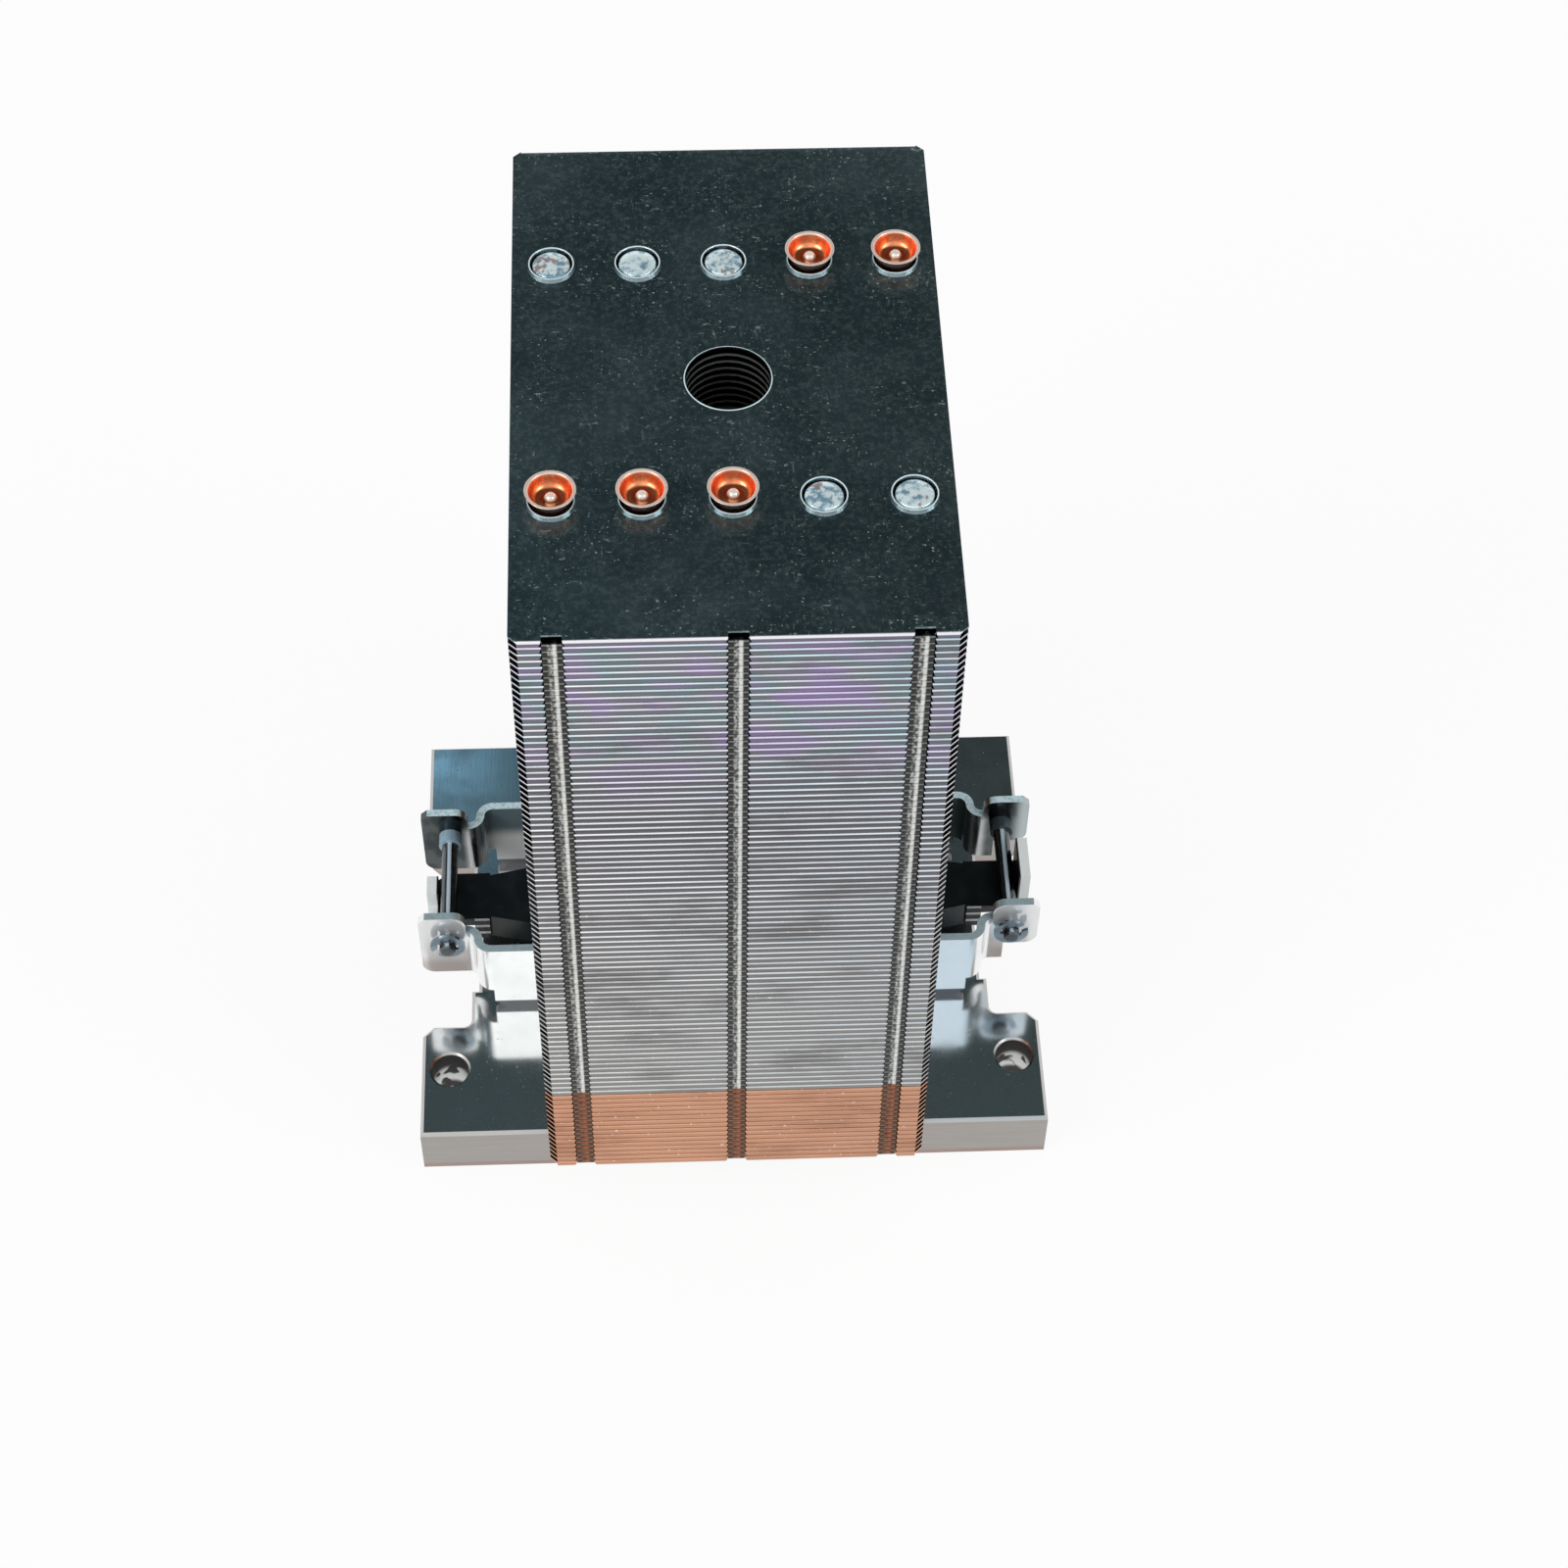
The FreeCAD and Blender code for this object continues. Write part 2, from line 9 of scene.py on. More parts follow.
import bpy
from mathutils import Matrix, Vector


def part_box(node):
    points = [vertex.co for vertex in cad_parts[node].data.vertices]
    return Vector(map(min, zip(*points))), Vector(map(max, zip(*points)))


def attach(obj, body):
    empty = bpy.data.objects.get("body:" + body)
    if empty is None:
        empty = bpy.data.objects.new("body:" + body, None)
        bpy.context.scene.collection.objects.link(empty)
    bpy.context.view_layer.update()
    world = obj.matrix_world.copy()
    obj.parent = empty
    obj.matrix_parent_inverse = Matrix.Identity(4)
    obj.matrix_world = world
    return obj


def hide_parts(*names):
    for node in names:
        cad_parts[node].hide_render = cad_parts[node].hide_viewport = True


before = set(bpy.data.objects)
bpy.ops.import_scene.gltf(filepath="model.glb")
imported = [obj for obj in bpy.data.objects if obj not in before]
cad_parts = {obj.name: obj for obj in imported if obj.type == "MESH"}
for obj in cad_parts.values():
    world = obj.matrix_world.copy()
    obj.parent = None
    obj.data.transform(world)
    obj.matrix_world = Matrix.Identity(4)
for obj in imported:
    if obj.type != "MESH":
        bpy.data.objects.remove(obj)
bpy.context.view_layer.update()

# %% [markdown]
# ## Sizes from the frame
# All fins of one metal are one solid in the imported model. The fins are equal,
# so the height of that solid over their count is the fin pitch. Sizes that
# are read in this way can't drift from the model. They are kept in
# millimetres, as on a drawing, and MM turns them into Blender's metres.

# %% Other modules and the first sizes
import math
from types import SimpleNamespace

import bmesh
import bpy
from mathutils import Matrix, Vector

MM = 0.001
FIN_COUNT = 83
COPPER_COUNT = 16
stack_low, stack_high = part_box("aluminium_fins")
copper_low, copper_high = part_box("copper_fins_front")
PITCH = (stack_high.z - stack_low.z) / FIN_COUNT / MM
HALF_X = stack_high.x / MM
FACE_Y = stack_high.y / MM
STACK_FOOT = stack_low.z / MM
STACK_TOP = stack_high.z / MM + PITCH
COPPER_FOOT = copper_low.z / MM
TUNNEL_Y = -copper_high.y / MM
print("pitch mm", round(PITCH, 3), "stack top mm", round(STACK_TOP, 2))

# %% [markdown]
# ## Camera
# The product stands below eye level and is seen steeply from above, a little
# turned. A long lens from half a metre away keeps that perspective. The
# rotation is built from a heading, a tilt and a small roll, because those
# three are easy to read and to change.

# %% Camera
CAMERA_PLACE = (-0.01097, -0.35903, 0.53577)
HEADING, TILT, ROLL = 0.05865, 0.92759, 0.02296
FOCAL_LENGTH, SENSOR_WIDTH = 76.335, 36.0


def look(heading, tilt, roll):
    """Rotation of a camera that looks along heading (from +Y), tilted down."""
    ahead = Vector((math.sin(heading) * math.cos(tilt), math.cos(heading) * math.cos(tilt), -math.sin(tilt)))
    right = Vector((math.cos(heading), -math.sin(heading), 0.0))
    up = right.cross(ahead)
    right, up = (math.cos(roll) * right + math.sin(roll) * up,
                 -math.sin(roll) * right + math.cos(roll) * up)
    return Matrix((right, up, -ahead)).transposed().to_4x4()


lens = bpy.data.cameras.new("studio_camera")
lens.sensor_width = SENSOR_WIDTH
lens.lens = FOCAL_LENGTH
camera = bpy.data.objects.new("studio_camera", lens)
bpy.context.scene.collection.objects.link(camera)
camera.matrix_world = Matrix.Translation(CAMERA_PLACE) @ look(HEADING, TILT, ROLL)
bpy.context.scene.camera = camera
bpy.context.scene.view_settings.view_transform = "Standard"
print("camera at", [round(v, 3) for v in camera.matrix_world.translation])

# %% [markdown]
# ## Shader sums as plain expressions
# A finish is mostly arithmetic on noise: a mask times a strength, one minus a
# mask. Each step is a node, and wiring them by hand hides the idea. So one
# small class wraps an output socket, and its operators add the Math nodes.
# Any other node comes from its add method: the node's type, then its
# settings, then the values or links of its inputs.

# %% The socket class
class Sock:
    """One output of a shader node, for use in sums."""

    def __init__(self, out):
        self.out = out
        self.tree = out.id_data

    def add(self, kind, settings, values, output=0):
        node = self.tree.nodes.new(kind)
        for name, value in settings.items():
            if name == "stops":
                ramp = node.color_ramp
                while len(ramp.elements) < len(value):
                    ramp.elements.new(0.5)
                for element, (position, colour) in zip(ramp.elements, value):
                    element.position = position
                    element.color = (*colour, 1.0)
            else:
                setattr(node, name, value)
        feed(node, values)
        return Sock(node.outputs[output])

    def math(self, operation, first, second):
        return self.add("ShaderNodeMath", {"operation": operation}, {0: first, 1: second})

    def __add__(self, other):
        return self.math("ADD", self, other)

    def __radd__(self, other):
        return self.math("ADD", other, self)

    def __sub__(self, other):
        return self.math("SUBTRACT", self, other)

    def __rsub__(self, other):
        return self.math("SUBTRACT", other, self)

    def __mul__(self, other):
        return self.math("MULTIPLY", self, other)

    def __rmul__(self, other):
        return self.math("MULTIPLY", other, self)

    def __truediv__(self, other):
        return self.math("DIVIDE", self, other)

    def __pow__(self, other):
        return self.math("POWER", self, other)

    def __abs__(self):
        return self.math("ABSOLUTE", self, 0.0)

    def fraction(self):
        return self.math("FRACT", self, 0.0)

    def at_most(self, limit):
        return self.math("MINIMUM", self, limit)


def feed(node, values):
    """Set or link a node's inputs, by name or by number."""
    for name, value in values.items():
        socket = node.inputs[name]
        if isinstance(value, Sock):
            node.id_data.links.new(value.out, socket)
        elif isinstance(value, tuple) and socket.type == "RGBA":
            socket.default_value = (*value, 1.0)
        else:
            socket.default_value = value


print("socket class ready")

# %% [markdown]
# ## Words of the finishes
# A few small helpers are enough for metal: noise that can be drawn out along
# one direction, a soft band between two values, a blend of two colours, and a
# bump. Every finish is placed by the object's own coordinates in millimetres,
# so a streak has the same real size on every piece.

# %% Noise, band, blend and bump
def start(name):
    """A new material, its surface node and its place in millimetres."""
    material = bpy.data.materials.new(name)
    material.use_nodes = True
    surface = material.node_tree.nodes["Principled BSDF"]
    metres = Sock(surface.outputs[0]).add("ShaderNodeTexCoord", {}, {}, "Object")
    place = metres.add("ShaderNodeVectorMath", {"operation": "SCALE"}, {0: metres, "Scale": 1.0 / MM})
    return material, surface, place


def noise(place, size, stretch=(1, 1, 1), detail=3.0, roughness=0.55):
    """Soft noise with blots about size millimetres wide, drawn out by stretch."""
    scale = tuple(1.0 / (size * s) for s in stretch)
    spot = place.add("ShaderNodeVectorMath", {"operation": "MULTIPLY"}, {0: place, 1: scale})
    values = {"Vector": spot, "Scale": 1.0, "Detail": detail, "Roughness": roughness}
    return spot.add("ShaderNodeTexNoise", {}, values)


def band(value, low, high, out_low=0.0, out_high=1.0):
    """Rises softly from out_low to out_high as value goes from low to high."""
    return value.add("ShaderNodeMapRange", {"interpolation_type": "SMOOTHSTEP"},
                     {0: value, 1: low, 2: high, 3: out_low, 4: out_high})


def inside(value, low, high, soft):
    """1 between low and high, falling to 0 over soft at both ends."""
    return band(value, low - soft, low) * band(value, high, high + soft, 1.0, 0.0)


def blend(mask, first, second):
    """The first colour where mask is 0, the second where it is 1."""
    return mask.add("ShaderNodeMix", {"data_type": "RGBA"}, {0: mask, 6: first, 7: second}, 2)


def ramp(value, stops):
    """A colour read from (position, colour) stops."""
    return value.add("ShaderNodeValToRGB", {"stops": stops}, {0: value})


def bump(height, strength, depth):
    """A bump of the given depth in millimetres."""
    return height.add("ShaderNodeBump", {}, {"Height": height, "Strength": strength, "Distance": depth * MM})


def toned(colour, share):
    """A colour made darker or lighter, worked out here and not by nodes."""
    return tuple(c * share for c in colour)


print("finish helpers ready")

# %% [markdown]
# ## Where a finish changes
# A cut edge, a foot or an ear is told apart from its neighbours by where it
# is and by the way it faces. The coordinates and the surface's own direction
# give both, in the object's space, so such a mask stays on its piece when the
# piece moves or the camera does.

# %% Place and direction
def axis(place, number):
    """One coordinate of a place."""
    return place.add("ShaderNodeSeparateXYZ", {}, {0: place}, number)


def away(first, second):
    """Distance from an axis, from two offsets square to it."""
    return (first * first + second * second) ** 0.5


def facing(place, number):
    """One part of the surface direction, from -1 to 1."""
    return axis(place.add("ShaderNodeNewGeometry", {}, {}, "Normal"), number)


def right_half(place):
    """1 on the right half of the product, 0 on the left."""
    return band(axis(place, 0), -1.0, 1.0)


def layer_phase(place, foot, thick):
    """0 at the foot of each layer, 1 at its top, for layers stacked up from foot.

    It is worked out in metres. The top face of a layer lies just where the
    phase jumps, so another unit would round some tops to the other side.
    """
    height = axis(place.add("ShaderNodeTexCoord", {}, {}, "Object"), 2)
    return ((height - foot * MM) / (thick * MM)).fraction()


print("place helpers ready")

# %% [markdown]
# ## Bright plating
# The base, the contact block and the cage are plated with a thin bright
# layer. It mirrors like nickel, but the metal below was rolled or milled
# first, so the mirror is broken by fine streaks, a few rubbed clouds and
# dust. A metallic surface with low roughness gives the mirror, noise in the
# roughness gives the clouds, and a shallow stretched bump gives the streaks.

# %% Bright plating
def plating(name, colour, roughness, streak, dust=0.0, upright=None):
    """A bright layer with dust; upright is the duller colour of milled sides."""
    material, surface, place = start(name)
    grain = noise(place, 0.35, streak, 4.0)
    clouds = noise(place, 14.0, (1, 1, 1), 4.0, 0.6)
    specks = band(noise(place, 0.55, (1, 1, 1), 2.0), 0.70, 0.74)
    rough = band(clouds, 0.35, 0.75, roughness * 0.7, roughness * 1.6) + grain * 0.05
    shade = blend(band(clouds, 0.3, 0.8, 0.0, 0.35), colour, toned(colour, 0.85))
    shade = blend(specks * dust, shade, (0.62, 0.60, 0.55))
    rough = rough + specks * (dust * 0.4)
    if upright:
        level = facing(place, 2)
        side = 1.0 - band(level * level, 0.35, 0.75)
        lines = noise(place, 0.2, (60, 60, 1), 2.0)
        milled = blend(band(lines, 0.35, 0.65, 0.0, 0.35), upright, toned(upright, 0.72))
        milled = blend(band(axis(place, 2), 0.9, 1.6, 0.6, 0.0), milled, (0.36, 0.22, 0.19))
        shade = blend(side, shade, milled)
        rough = rough + side * 0.24
    return SimpleNamespace(material=material, surface=surface, place=place,
                           shade=shade, rough=rough, grain=grain)


def finish_plating(made, metallic=1.0):
    """Wire a plating's shade, roughness and streaks into its surface."""
    feed(made.surface, {"Base Color": made.shade, "Metallic": metallic, "Roughness": made.rough,
                        "Normal": bump(made.grain, 0.10, 0.015)})
    return made.material


contact_plating = finish_plating(plating("contact_plating", (0.70, 0.67, 0.63), 0.16, (30, 1, 1), 0.2))
print("made", contact_plating.name)

# %% [markdown]
# ## The base plate
# Its faces are bright and its milled sides matt, with a reddish line along the
# foot. The two guide holes go deep and carry painted shade, with pale patches
# of painted reflection low in each. A mask around each bore does that: the
# distance from the bore's axis, times a limit on the height.

# %% Base plate finish
GUIDE_HOLE_X, GUIDE_HOLE_Y = 52.3, -30.6


def base_finish():
    made = plating("base_plating", (0.86, 0.88, 0.88), 0.10, (1, 24, 1), 0.7, (0.40, 0.375, 0.355))
    place = made.place
    height = axis(place, 2)
    from_bore = away(abs(axis(place, 0)) - GUIDE_HOLE_X, axis(place, 1) - GUIDE_HOLE_Y)
    # Painted shade on the walls of the guide bores.
    bore = band(from_bore, 3.45, 3.60, 1.0, 0.0) * band(height, 10.6, 11.0, 1.0, 0.0)
    swirl = noise(place, 3.0, (1, 1, 1), 1.0)
    # Pale patches of painted reflection low in each bore.
    wear_and_glint = inside(height, 3.0, 6.0, 1.6) * band(swirl, 0.42, 0.50)
    made.shade = blend(bore, made.shade, blend(wear_and_glint, (0.05, 0.045, 0.045), (0.75, 0.77, 0.74)))
    made.rough = made.rough + bore * 0.12
    return finish_plating(made)


base_plating = base_finish()
print("made", base_plating.name)

# %% [markdown]
# ## The cage
# The brackets were sheared from plated sheet. So their walls are bright, but
# the sheared edges are matt and mottled with burrs, and where they face up they
# are painted pale as if lit, darker at the rear. The rear ears carry painted
# shade, the front ears a reddish painted reflection low down, and a painted
# shadow darkens the foot under the springs. The inner side of the rear wall is
# matt as well and lies in the shade of the fins: it gets painted shade high up
# and on the right, and a painted white reflection low on the left.
# Each part has its own mask, and a matt part is also less metallic.

# %% Cage finish
def ear_painted_shade(place, out, right):
    """Painted shade on the rear ears, mottled, lighter towards the outer end of the right one."""
    mottle = noise(place, 3.5, (1, 1, 1.6), 2.0)
    shade = blend(band(mottle, 0.4, 0.6), (0.040, 0.050, 0.052), (0.090, 0.10, 0.10))
    return blend(band(out, 53.5, 56.5) * right, shade, (0.42, 0.47, 0.48))


def cage_finish():
    made = plating("cage_plating", (0.92, 0.93, 0.94), 0.15, (20, 1, 1), 0.1)
    place = made.place
    out, height = abs(axis(place, 0)), axis(place, 2)
    right, rear = right_half(place), band(axis(place, 1), -1.0, 1.0)
    ear = band(out, 47.0, 50.0)
    # Painted shade on the rear ears.
    shade = blend(rear * ear, made.shade, ear_painted_shade(place, out, right))
    # A reddish painted reflection low on the front ears.
    low_ear = ear * band(height, 19.0, 22.5, 1.0, 0.0)
    shade = blend(low_ear * (1.0 - rear) * 0.6, shade, (0.46, 0.37, 0.33))
    # Inner face of the rear wall: painted white reflection low on the left, painted shade above it and on the
    # right.
    within = rear * band(facing(place, 1), -0.35, -0.15, 1.0, 0.0) * band(out, 46.2, 47.5, 1.0, 0.0)
    left_wall_light_and_shade = blend(band(height, 20.0, 24.0), (0.98, 1.0, 1.0), (0.17, 0.24, 0.27))
    shade = blend(within, shade, blend(right, left_wall_light_and_shade, (0.07, 0.10, 0.10)))
    # Painted shadow along the foot of the walls, under the springs.
    shade = blend(band(height, 13.0, 13.4, 1.0, 0.0), shade, (0.12, 0.12, 0.13))
    # Up-facing cut edges: matt and burred, painted pale bluish as if lit, and darker at the rear as painted
    # shade.
    cut_edge = band(facing(place, 2), 0.75, 0.9)
    burr = band(noise(place, 0.7, (1, 1, 1), 3.0), 0.45, 0.65, 0.0, 0.5)
    edge_painted_light = blend(rear, (0.36, 0.48, 0.52), (0.70, 0.92, 0.98))
    made.shade = blend(cut_edge, shade, blend(burr, edge_painted_light, (0.26, 0.35, 0.38)))
    made.rough = made.rough + cut_edge * 0.30
    matt = cut_edge + within * 0.9 + (1.0 - rear) * ear * 0.5
    return finish_plating(made, 1.0 - matt.at_most(1.0))


cage_plating = cage_finish()
print("made", cage_plating.name)

# %% [markdown]
# ## Fin sheet
# The fins are bare rolled sheet with a long grain. The fold of each fin is a
# rounded edge over a flat strip: the edge carries a painted highlight, and the
# strip below it is darker. So the height within one pitch is the mask between
# two colours. High up the strip is dark and the edge bright; lower down they
# come closer, a painted change of light with height. The upper third of the
# aluminium also shows faint violet and green bands, a tint that changes slowly
# over the face.

# %% Where a fold begins, and the tint of the upper fins
def fold_phase(place):
    """0 at the foot of each fold, 1 at its top."""
    return layer_phase(place, COPPER_FOOT, PITCH)


def upper_tint(place, strip, rim):
    """The strip and edge colours, tinted on the upper third of the stack."""
    upper = band(axis(place, 2), 112.0, 150.0) * 0.85
    hue = noise(place, 15.0, (1.0, 1, 0.45), 1.0)
    on_strip = ramp(hue, [(0.34, (0.26, 0.19, 0.38)), (0.44, (0.19, 0.185, 0.22)),
                          (0.54, (0.15, 0.20, 0.22)), (0.64, (0.24, 0.19, 0.32))])
    on_rim = ramp(hue, [(0.34, (0.90, 0.76, 0.99)), (0.46, (0.96, 0.96, 0.98)),
                        (0.56, (0.76, 0.95, 0.97)), (0.66, (0.95, 0.86, 0.99))])
    return blend(upper, strip, on_strip), blend(upper, rim, on_rim)


print("fold phase and tint ready")

# %% [markdown]
# ## Grooves and tongues
# Three grooves run down each face. In a groove the fold gives way to a
# narrow tongue that hooks into the fin below. Its sides get painted shade,
# and along its middle a painted highlight marks the crown, a little right of
# the centre line. The distance from the nearest groove gives the sides, and
# the distance from each crown gives the highlight line.

# %% Colours inside a groove
GROOVES = (-27.3, 0.0, 27.3)
GROOVE_HALF = 1.55
CROWN_OFFSET = 0.40


def groove_masks(place):
    """Masks of the grooves, of the tongues in them and of the painted highlights on their crowns."""
    across, along = axis(place, 0), abs(axis(place, 1))
    to_groove = abs(abs(across) - GROOVES[2]).at_most(abs(across))
    groove = band(to_groove, GROOVE_HALF - 0.04, GROOVE_HALF - 0.02, 1.0, 0.0)
    groove = groove * band(along, FACE_Y - 1.7, FACE_Y - 1.6)
    tongue = band(to_groove, 0.50, 0.85, 1.0, 0.0)
    # Painted highlight along the crown of each tongue.
    crown = sum(band(abs(across - (x + CROWN_OFFSET)), 0.15, 0.50, 0.65, 0.0) for x in GROOVES)
    return groove, tongue, crown


def groove_skin(place, edge, tongue, crown, sheet):
    """Hatched sides in painted shade, a speckled tongue and a painted highlight along its crown."""
    # Painted shade on the groove sides, lighter at the bend of each fold.
    sides = blend(edge, toned(sheet["strip_low"], 0.12), toned(sheet["strip_low"], sheet["groove_light"]))
    speckle = band(noise(place, 0.5, (1, 1, 1.4), 2.0), 0.42, 0.62)
    middle = blend(speckle, toned(sheet["strip_low"], 0.38), sheet["tongue"])
    return blend(tongue, sides, blend(crown, middle, toned(sheet["tongue"], 2.0)))


print("grooves at mm", GROOVES)

# %% [markdown]
# ## The two fin metals
# Aluminium and copper fins come off the same press, so one function makes
# both and only the colours differ. The layers go in this order: metal with its
# painted edge highlight, stain, knocks on the edges, a painted shadow line at
# the foot of each fold, then the grooves. The hole for the driver is punched
# through all of them, and its raw wall is darker.

# %% Aluminium and copper sheet
HOLE_RADIUS = 6.7


def fin_sheet(name, sheet, tinted):
    material, surface, place = start(name)
    grain = noise(place, 0.25, (50, 1, 1), 2.0)
    wear = noise(place, 11.0, (2.0, 1, 0.7), 4.0, 0.6)
    knocks = band(noise(place, 0.8, (1.2, 1, 0.5), 2.0), 0.66, 0.72)
    height = band(axis(place, 2), 36.0, 120.0)
    phase = fold_phase(place)
    # Painted highlight along the bend of each fold.
    edge = band(phase, 0.80, 0.90)
    # Painted change of light with height: high up the strip is darker and the edge brighter.
    strip = blend(height, sheet["strip_low"], sheet["strip_high"])
    rim = blend(height, sheet["edge_low"], sheet["edge_high"])
    if tinted:
        strip, rim = upper_tint(place, strip, rim)
    skin = blend(edge, strip, rim)
    skin = blend(band(wear, 0.45, 0.75, 0.0, 0.5), skin, sheet["stain"])
    skin = blend(band(grain, 0.4, 0.7, 0.0, 0.18), skin, sheet["stain"])
    skin = blend(knocks * edge * 0.6, skin, (0.95, 0.94, 0.92))
    # Painted shadow line at the foot of each fold.
    skin = blend(band(phase, 0.05, 0.13, 0.7, 0.0), skin, toned(sheet["strip_low"], 0.15))
    groove, tongue, crown = groove_masks(place)
    skin = blend(groove, skin, groove_skin(place, edge, tongue, crown, sheet))
    from_hole = away(axis(place, 0), axis(place, 1))
    punched = band(from_hole, HOLE_RADIUS + 0.02, HOLE_RADIUS + 0.06, 1.0, 0.0)
    skin = blend(punched, skin, (0.13, 0.14, 0.13))
    feed(surface, {"Base Color": skin, "Metallic": band(punched, 0.0, 1.0, 1.0, 0.2),
                   "Roughness": band(wear, 0.3, 0.8, 0.20, 0.30), "Normal": bump(grain, 0.05, 0.01)})
    return material


aluminium_sheet = fin_sheet("aluminium_sheet", {
    "strip_high": (0.105, 0.10, 0.11), "strip_low": (0.27, 0.265, 0.255),
    "edge_high": (0.95, 0.95, 0.98), "edge_low": (0.74, 0.73, 0.72),
    "stain": (0.10, 0.09, 0.085), "tongue": (0.46, 0.46, 0.44), "groove_light": 0.75}, tinted=True)
copper_sheet = fin_sheet("copper_sheet", {
    "strip_high": (0.58, 0.295, 0.18), "strip_low": (0.58, 0.295, 0.18),
    "edge_high": (0.79, 0.42, 0.275), "edge_low": (0.72, 0.39, 0.26),
    "stain": (0.28, 0.13, 0.075), "tongue": (0.17, 0.055, 0.03), "groove_light": 0.5}, tinted=False)
print("made", aluminium_sheet.name, "and", copper_sheet.name)

# %% [markdown]
# ## Face of the top fin
# The top fin is the same sheet, but its face is smoother than the rest. Its
# deep greenish grey is a painted reflection of a dark room, under pale dust,
# lint and fine scratches. Its folded edge carries the same painted highlight as
# the others, so the dark face stops at the bend.

# %% Top fin finish
def top_sheet_finish():
    material, surface, place = start("top_sheet")
    clouds = noise(place, 26.0, (1, 1, 1), 5.0, 0.65)
    patch = band(noise(place, 8.0, (1, 1, 1), 4.0), 0.38, 0.60, 0.12, 1.0)
    dust = band(noise(place, 0.55, (1, 1, 1), 2.0, 0.4), 0.665, 0.72)
    lint = band(noise(place, 0.8, (2.2, 1, 1), 2.0, 0.5), 0.67, 0.73)
    scratch = band(noise(place, 0.5, (1, 3.5, 1), 2.0, 0.4), 0.66, 0.74)
    haze = noise(place, 0.8, (1, 1, 1), 4.0, 0.7)
    dirt = ((dust * 0.8 + lint * 0.5 + scratch * 0.3) * patch).at_most(1.0)
    # Painted dark reflection: the deep greenish grey of the smooth face.
    face = blend(band(clouds, 0.3, 0.75), (0.088, 0.143, 0.160), (0.158, 0.218, 0.235))
    face = blend(band(haze, 0.44, 0.68, 0.0, 0.8), face, (0.28, 0.37, 0.37))
    face = blend(dirt, face, (0.46, 0.53, 0.50))
    fold = band(abs(axis(place, 1)), FACE_Y - 0.45, FACE_Y - 0.30)
    # Painted highlight along the bend of the fold.
    bent = blend(band(fold_phase(place), 0.62, 0.78), (0.17, 0.15, 0.21), (0.90, 0.88, 0.90))
    feed(surface, {"Base Color": blend(fold, face, bent), "Metallic": band(dirt, 0.0, 1.0, 0.92, 0.5),
                   "Roughness": band(clouds, 0.3, 0.75, 0.20, 0.32) + dirt * 0.3,
                   "Normal": bump(haze, 0.05, 0.02)})
    return material


top_sheet = top_sheet_finish()
print("made", top_sheet.name)

# %% [markdown]
# ## Copper of the pipes
# The pipes are drawn copper, redder and smoother than the copper fins. One
# end of each pipe is a little cup, and there the rim is pale and the welded
# tip carries a painted highlight. Both lie at known places: the rim by its
# height, the tip by its distance from the axis of the nearest pipe. Faces that
# look down carry painted shade.

# %% Pipe copper
PIPE_RADIUS, PIPE_PITCH, PIPE_ROW = 3.0, 13.7, 25.1


def pipe_finish():
    material, surface, place = start("pipe_copper")
    stain = noise(place, 1.6, (1, 1, 1), 4.0, 0.6)
    fine = noise(place, 0.25, (1, 1, 8), 2.0)
    height = axis(place, 2)
    across = ((axis(place, 0) / PIPE_PITCH + 0.5).fraction() - 0.5) * PIPE_PITCH
    from_pipe = away(across, abs(axis(place, 1)) - PIPE_ROW)
    rim = band(height, STACK_TOP + 2.66, STACK_TOP + 2.84)
    # Painted highlight on the welded tip of each cup.
    tip = band(from_pipe, 0.8, 1.1, 1.0, 0.0) * band(height, STACK_TOP + 0.9, STACK_TOP + 1.3)
    skin = blend(band(stain, 0.38, 0.66), (0.97, 0.34, 0.15), (0.72, 0.23, 0.11))
    # Painted shade on faces that look down.
    skin = blend(band(facing(place, 2), -0.15, -0.02, 1.0, 0.0), skin, (0.26, 0.15, 0.12))
    skin = blend(rim, skin, (0.80, 0.64, 0.56))
    skin = blend(tip, skin, (0.98, 0.88, 0.80))
    feed(surface, {"Base Color": skin, "Metallic": 1.0 - (rim + tip) * 0.65,
                   "Roughness": band(stain, 0.3, 0.8, 0.24, 0.40), "Normal": bump(fine, 0.10, 0.02)})
    return material


pipe_copper = pipe_finish()
print("made", pipe_copper.name)

# %% [markdown]
# ## Closed pipe ends and collars
# The closed ends are tinned: a mottled pale metal with a few reddish spots
# where the copper shows. Low metallic and a strong bump make it read as a
# frozen drop. The collars around all ten ends, and the rim of the driver's
# hole, are drawn edges of the top fin, polished by the drawing. Their
# up-facing tops carry a painted highlight.

# %% Cap and ring finishes
def cap_finish():
    material, surface, place = start("cap_plating")
    mottle = noise(place, 1.3, (1, 1, 1), 4.0, 0.65)
    spot = band(noise(place, 2.2, (1, 1, 1), 2.0), 0.60, 0.66)
    skin = blend(band(mottle, 0.38, 0.56), (0.20, 0.36, 0.46), (0.84, 0.98, 1.0))
    skin = blend(spot * 0.8, skin, (0.34, 0.18, 0.14))
    feed(surface, {"Base Color": skin, "Metallic": 0.35, "Roughness": band(mottle, 0.3, 0.7, 0.36, 0.24),
                   "Normal": bump(mottle, 0.45, 0.08)})
    return material


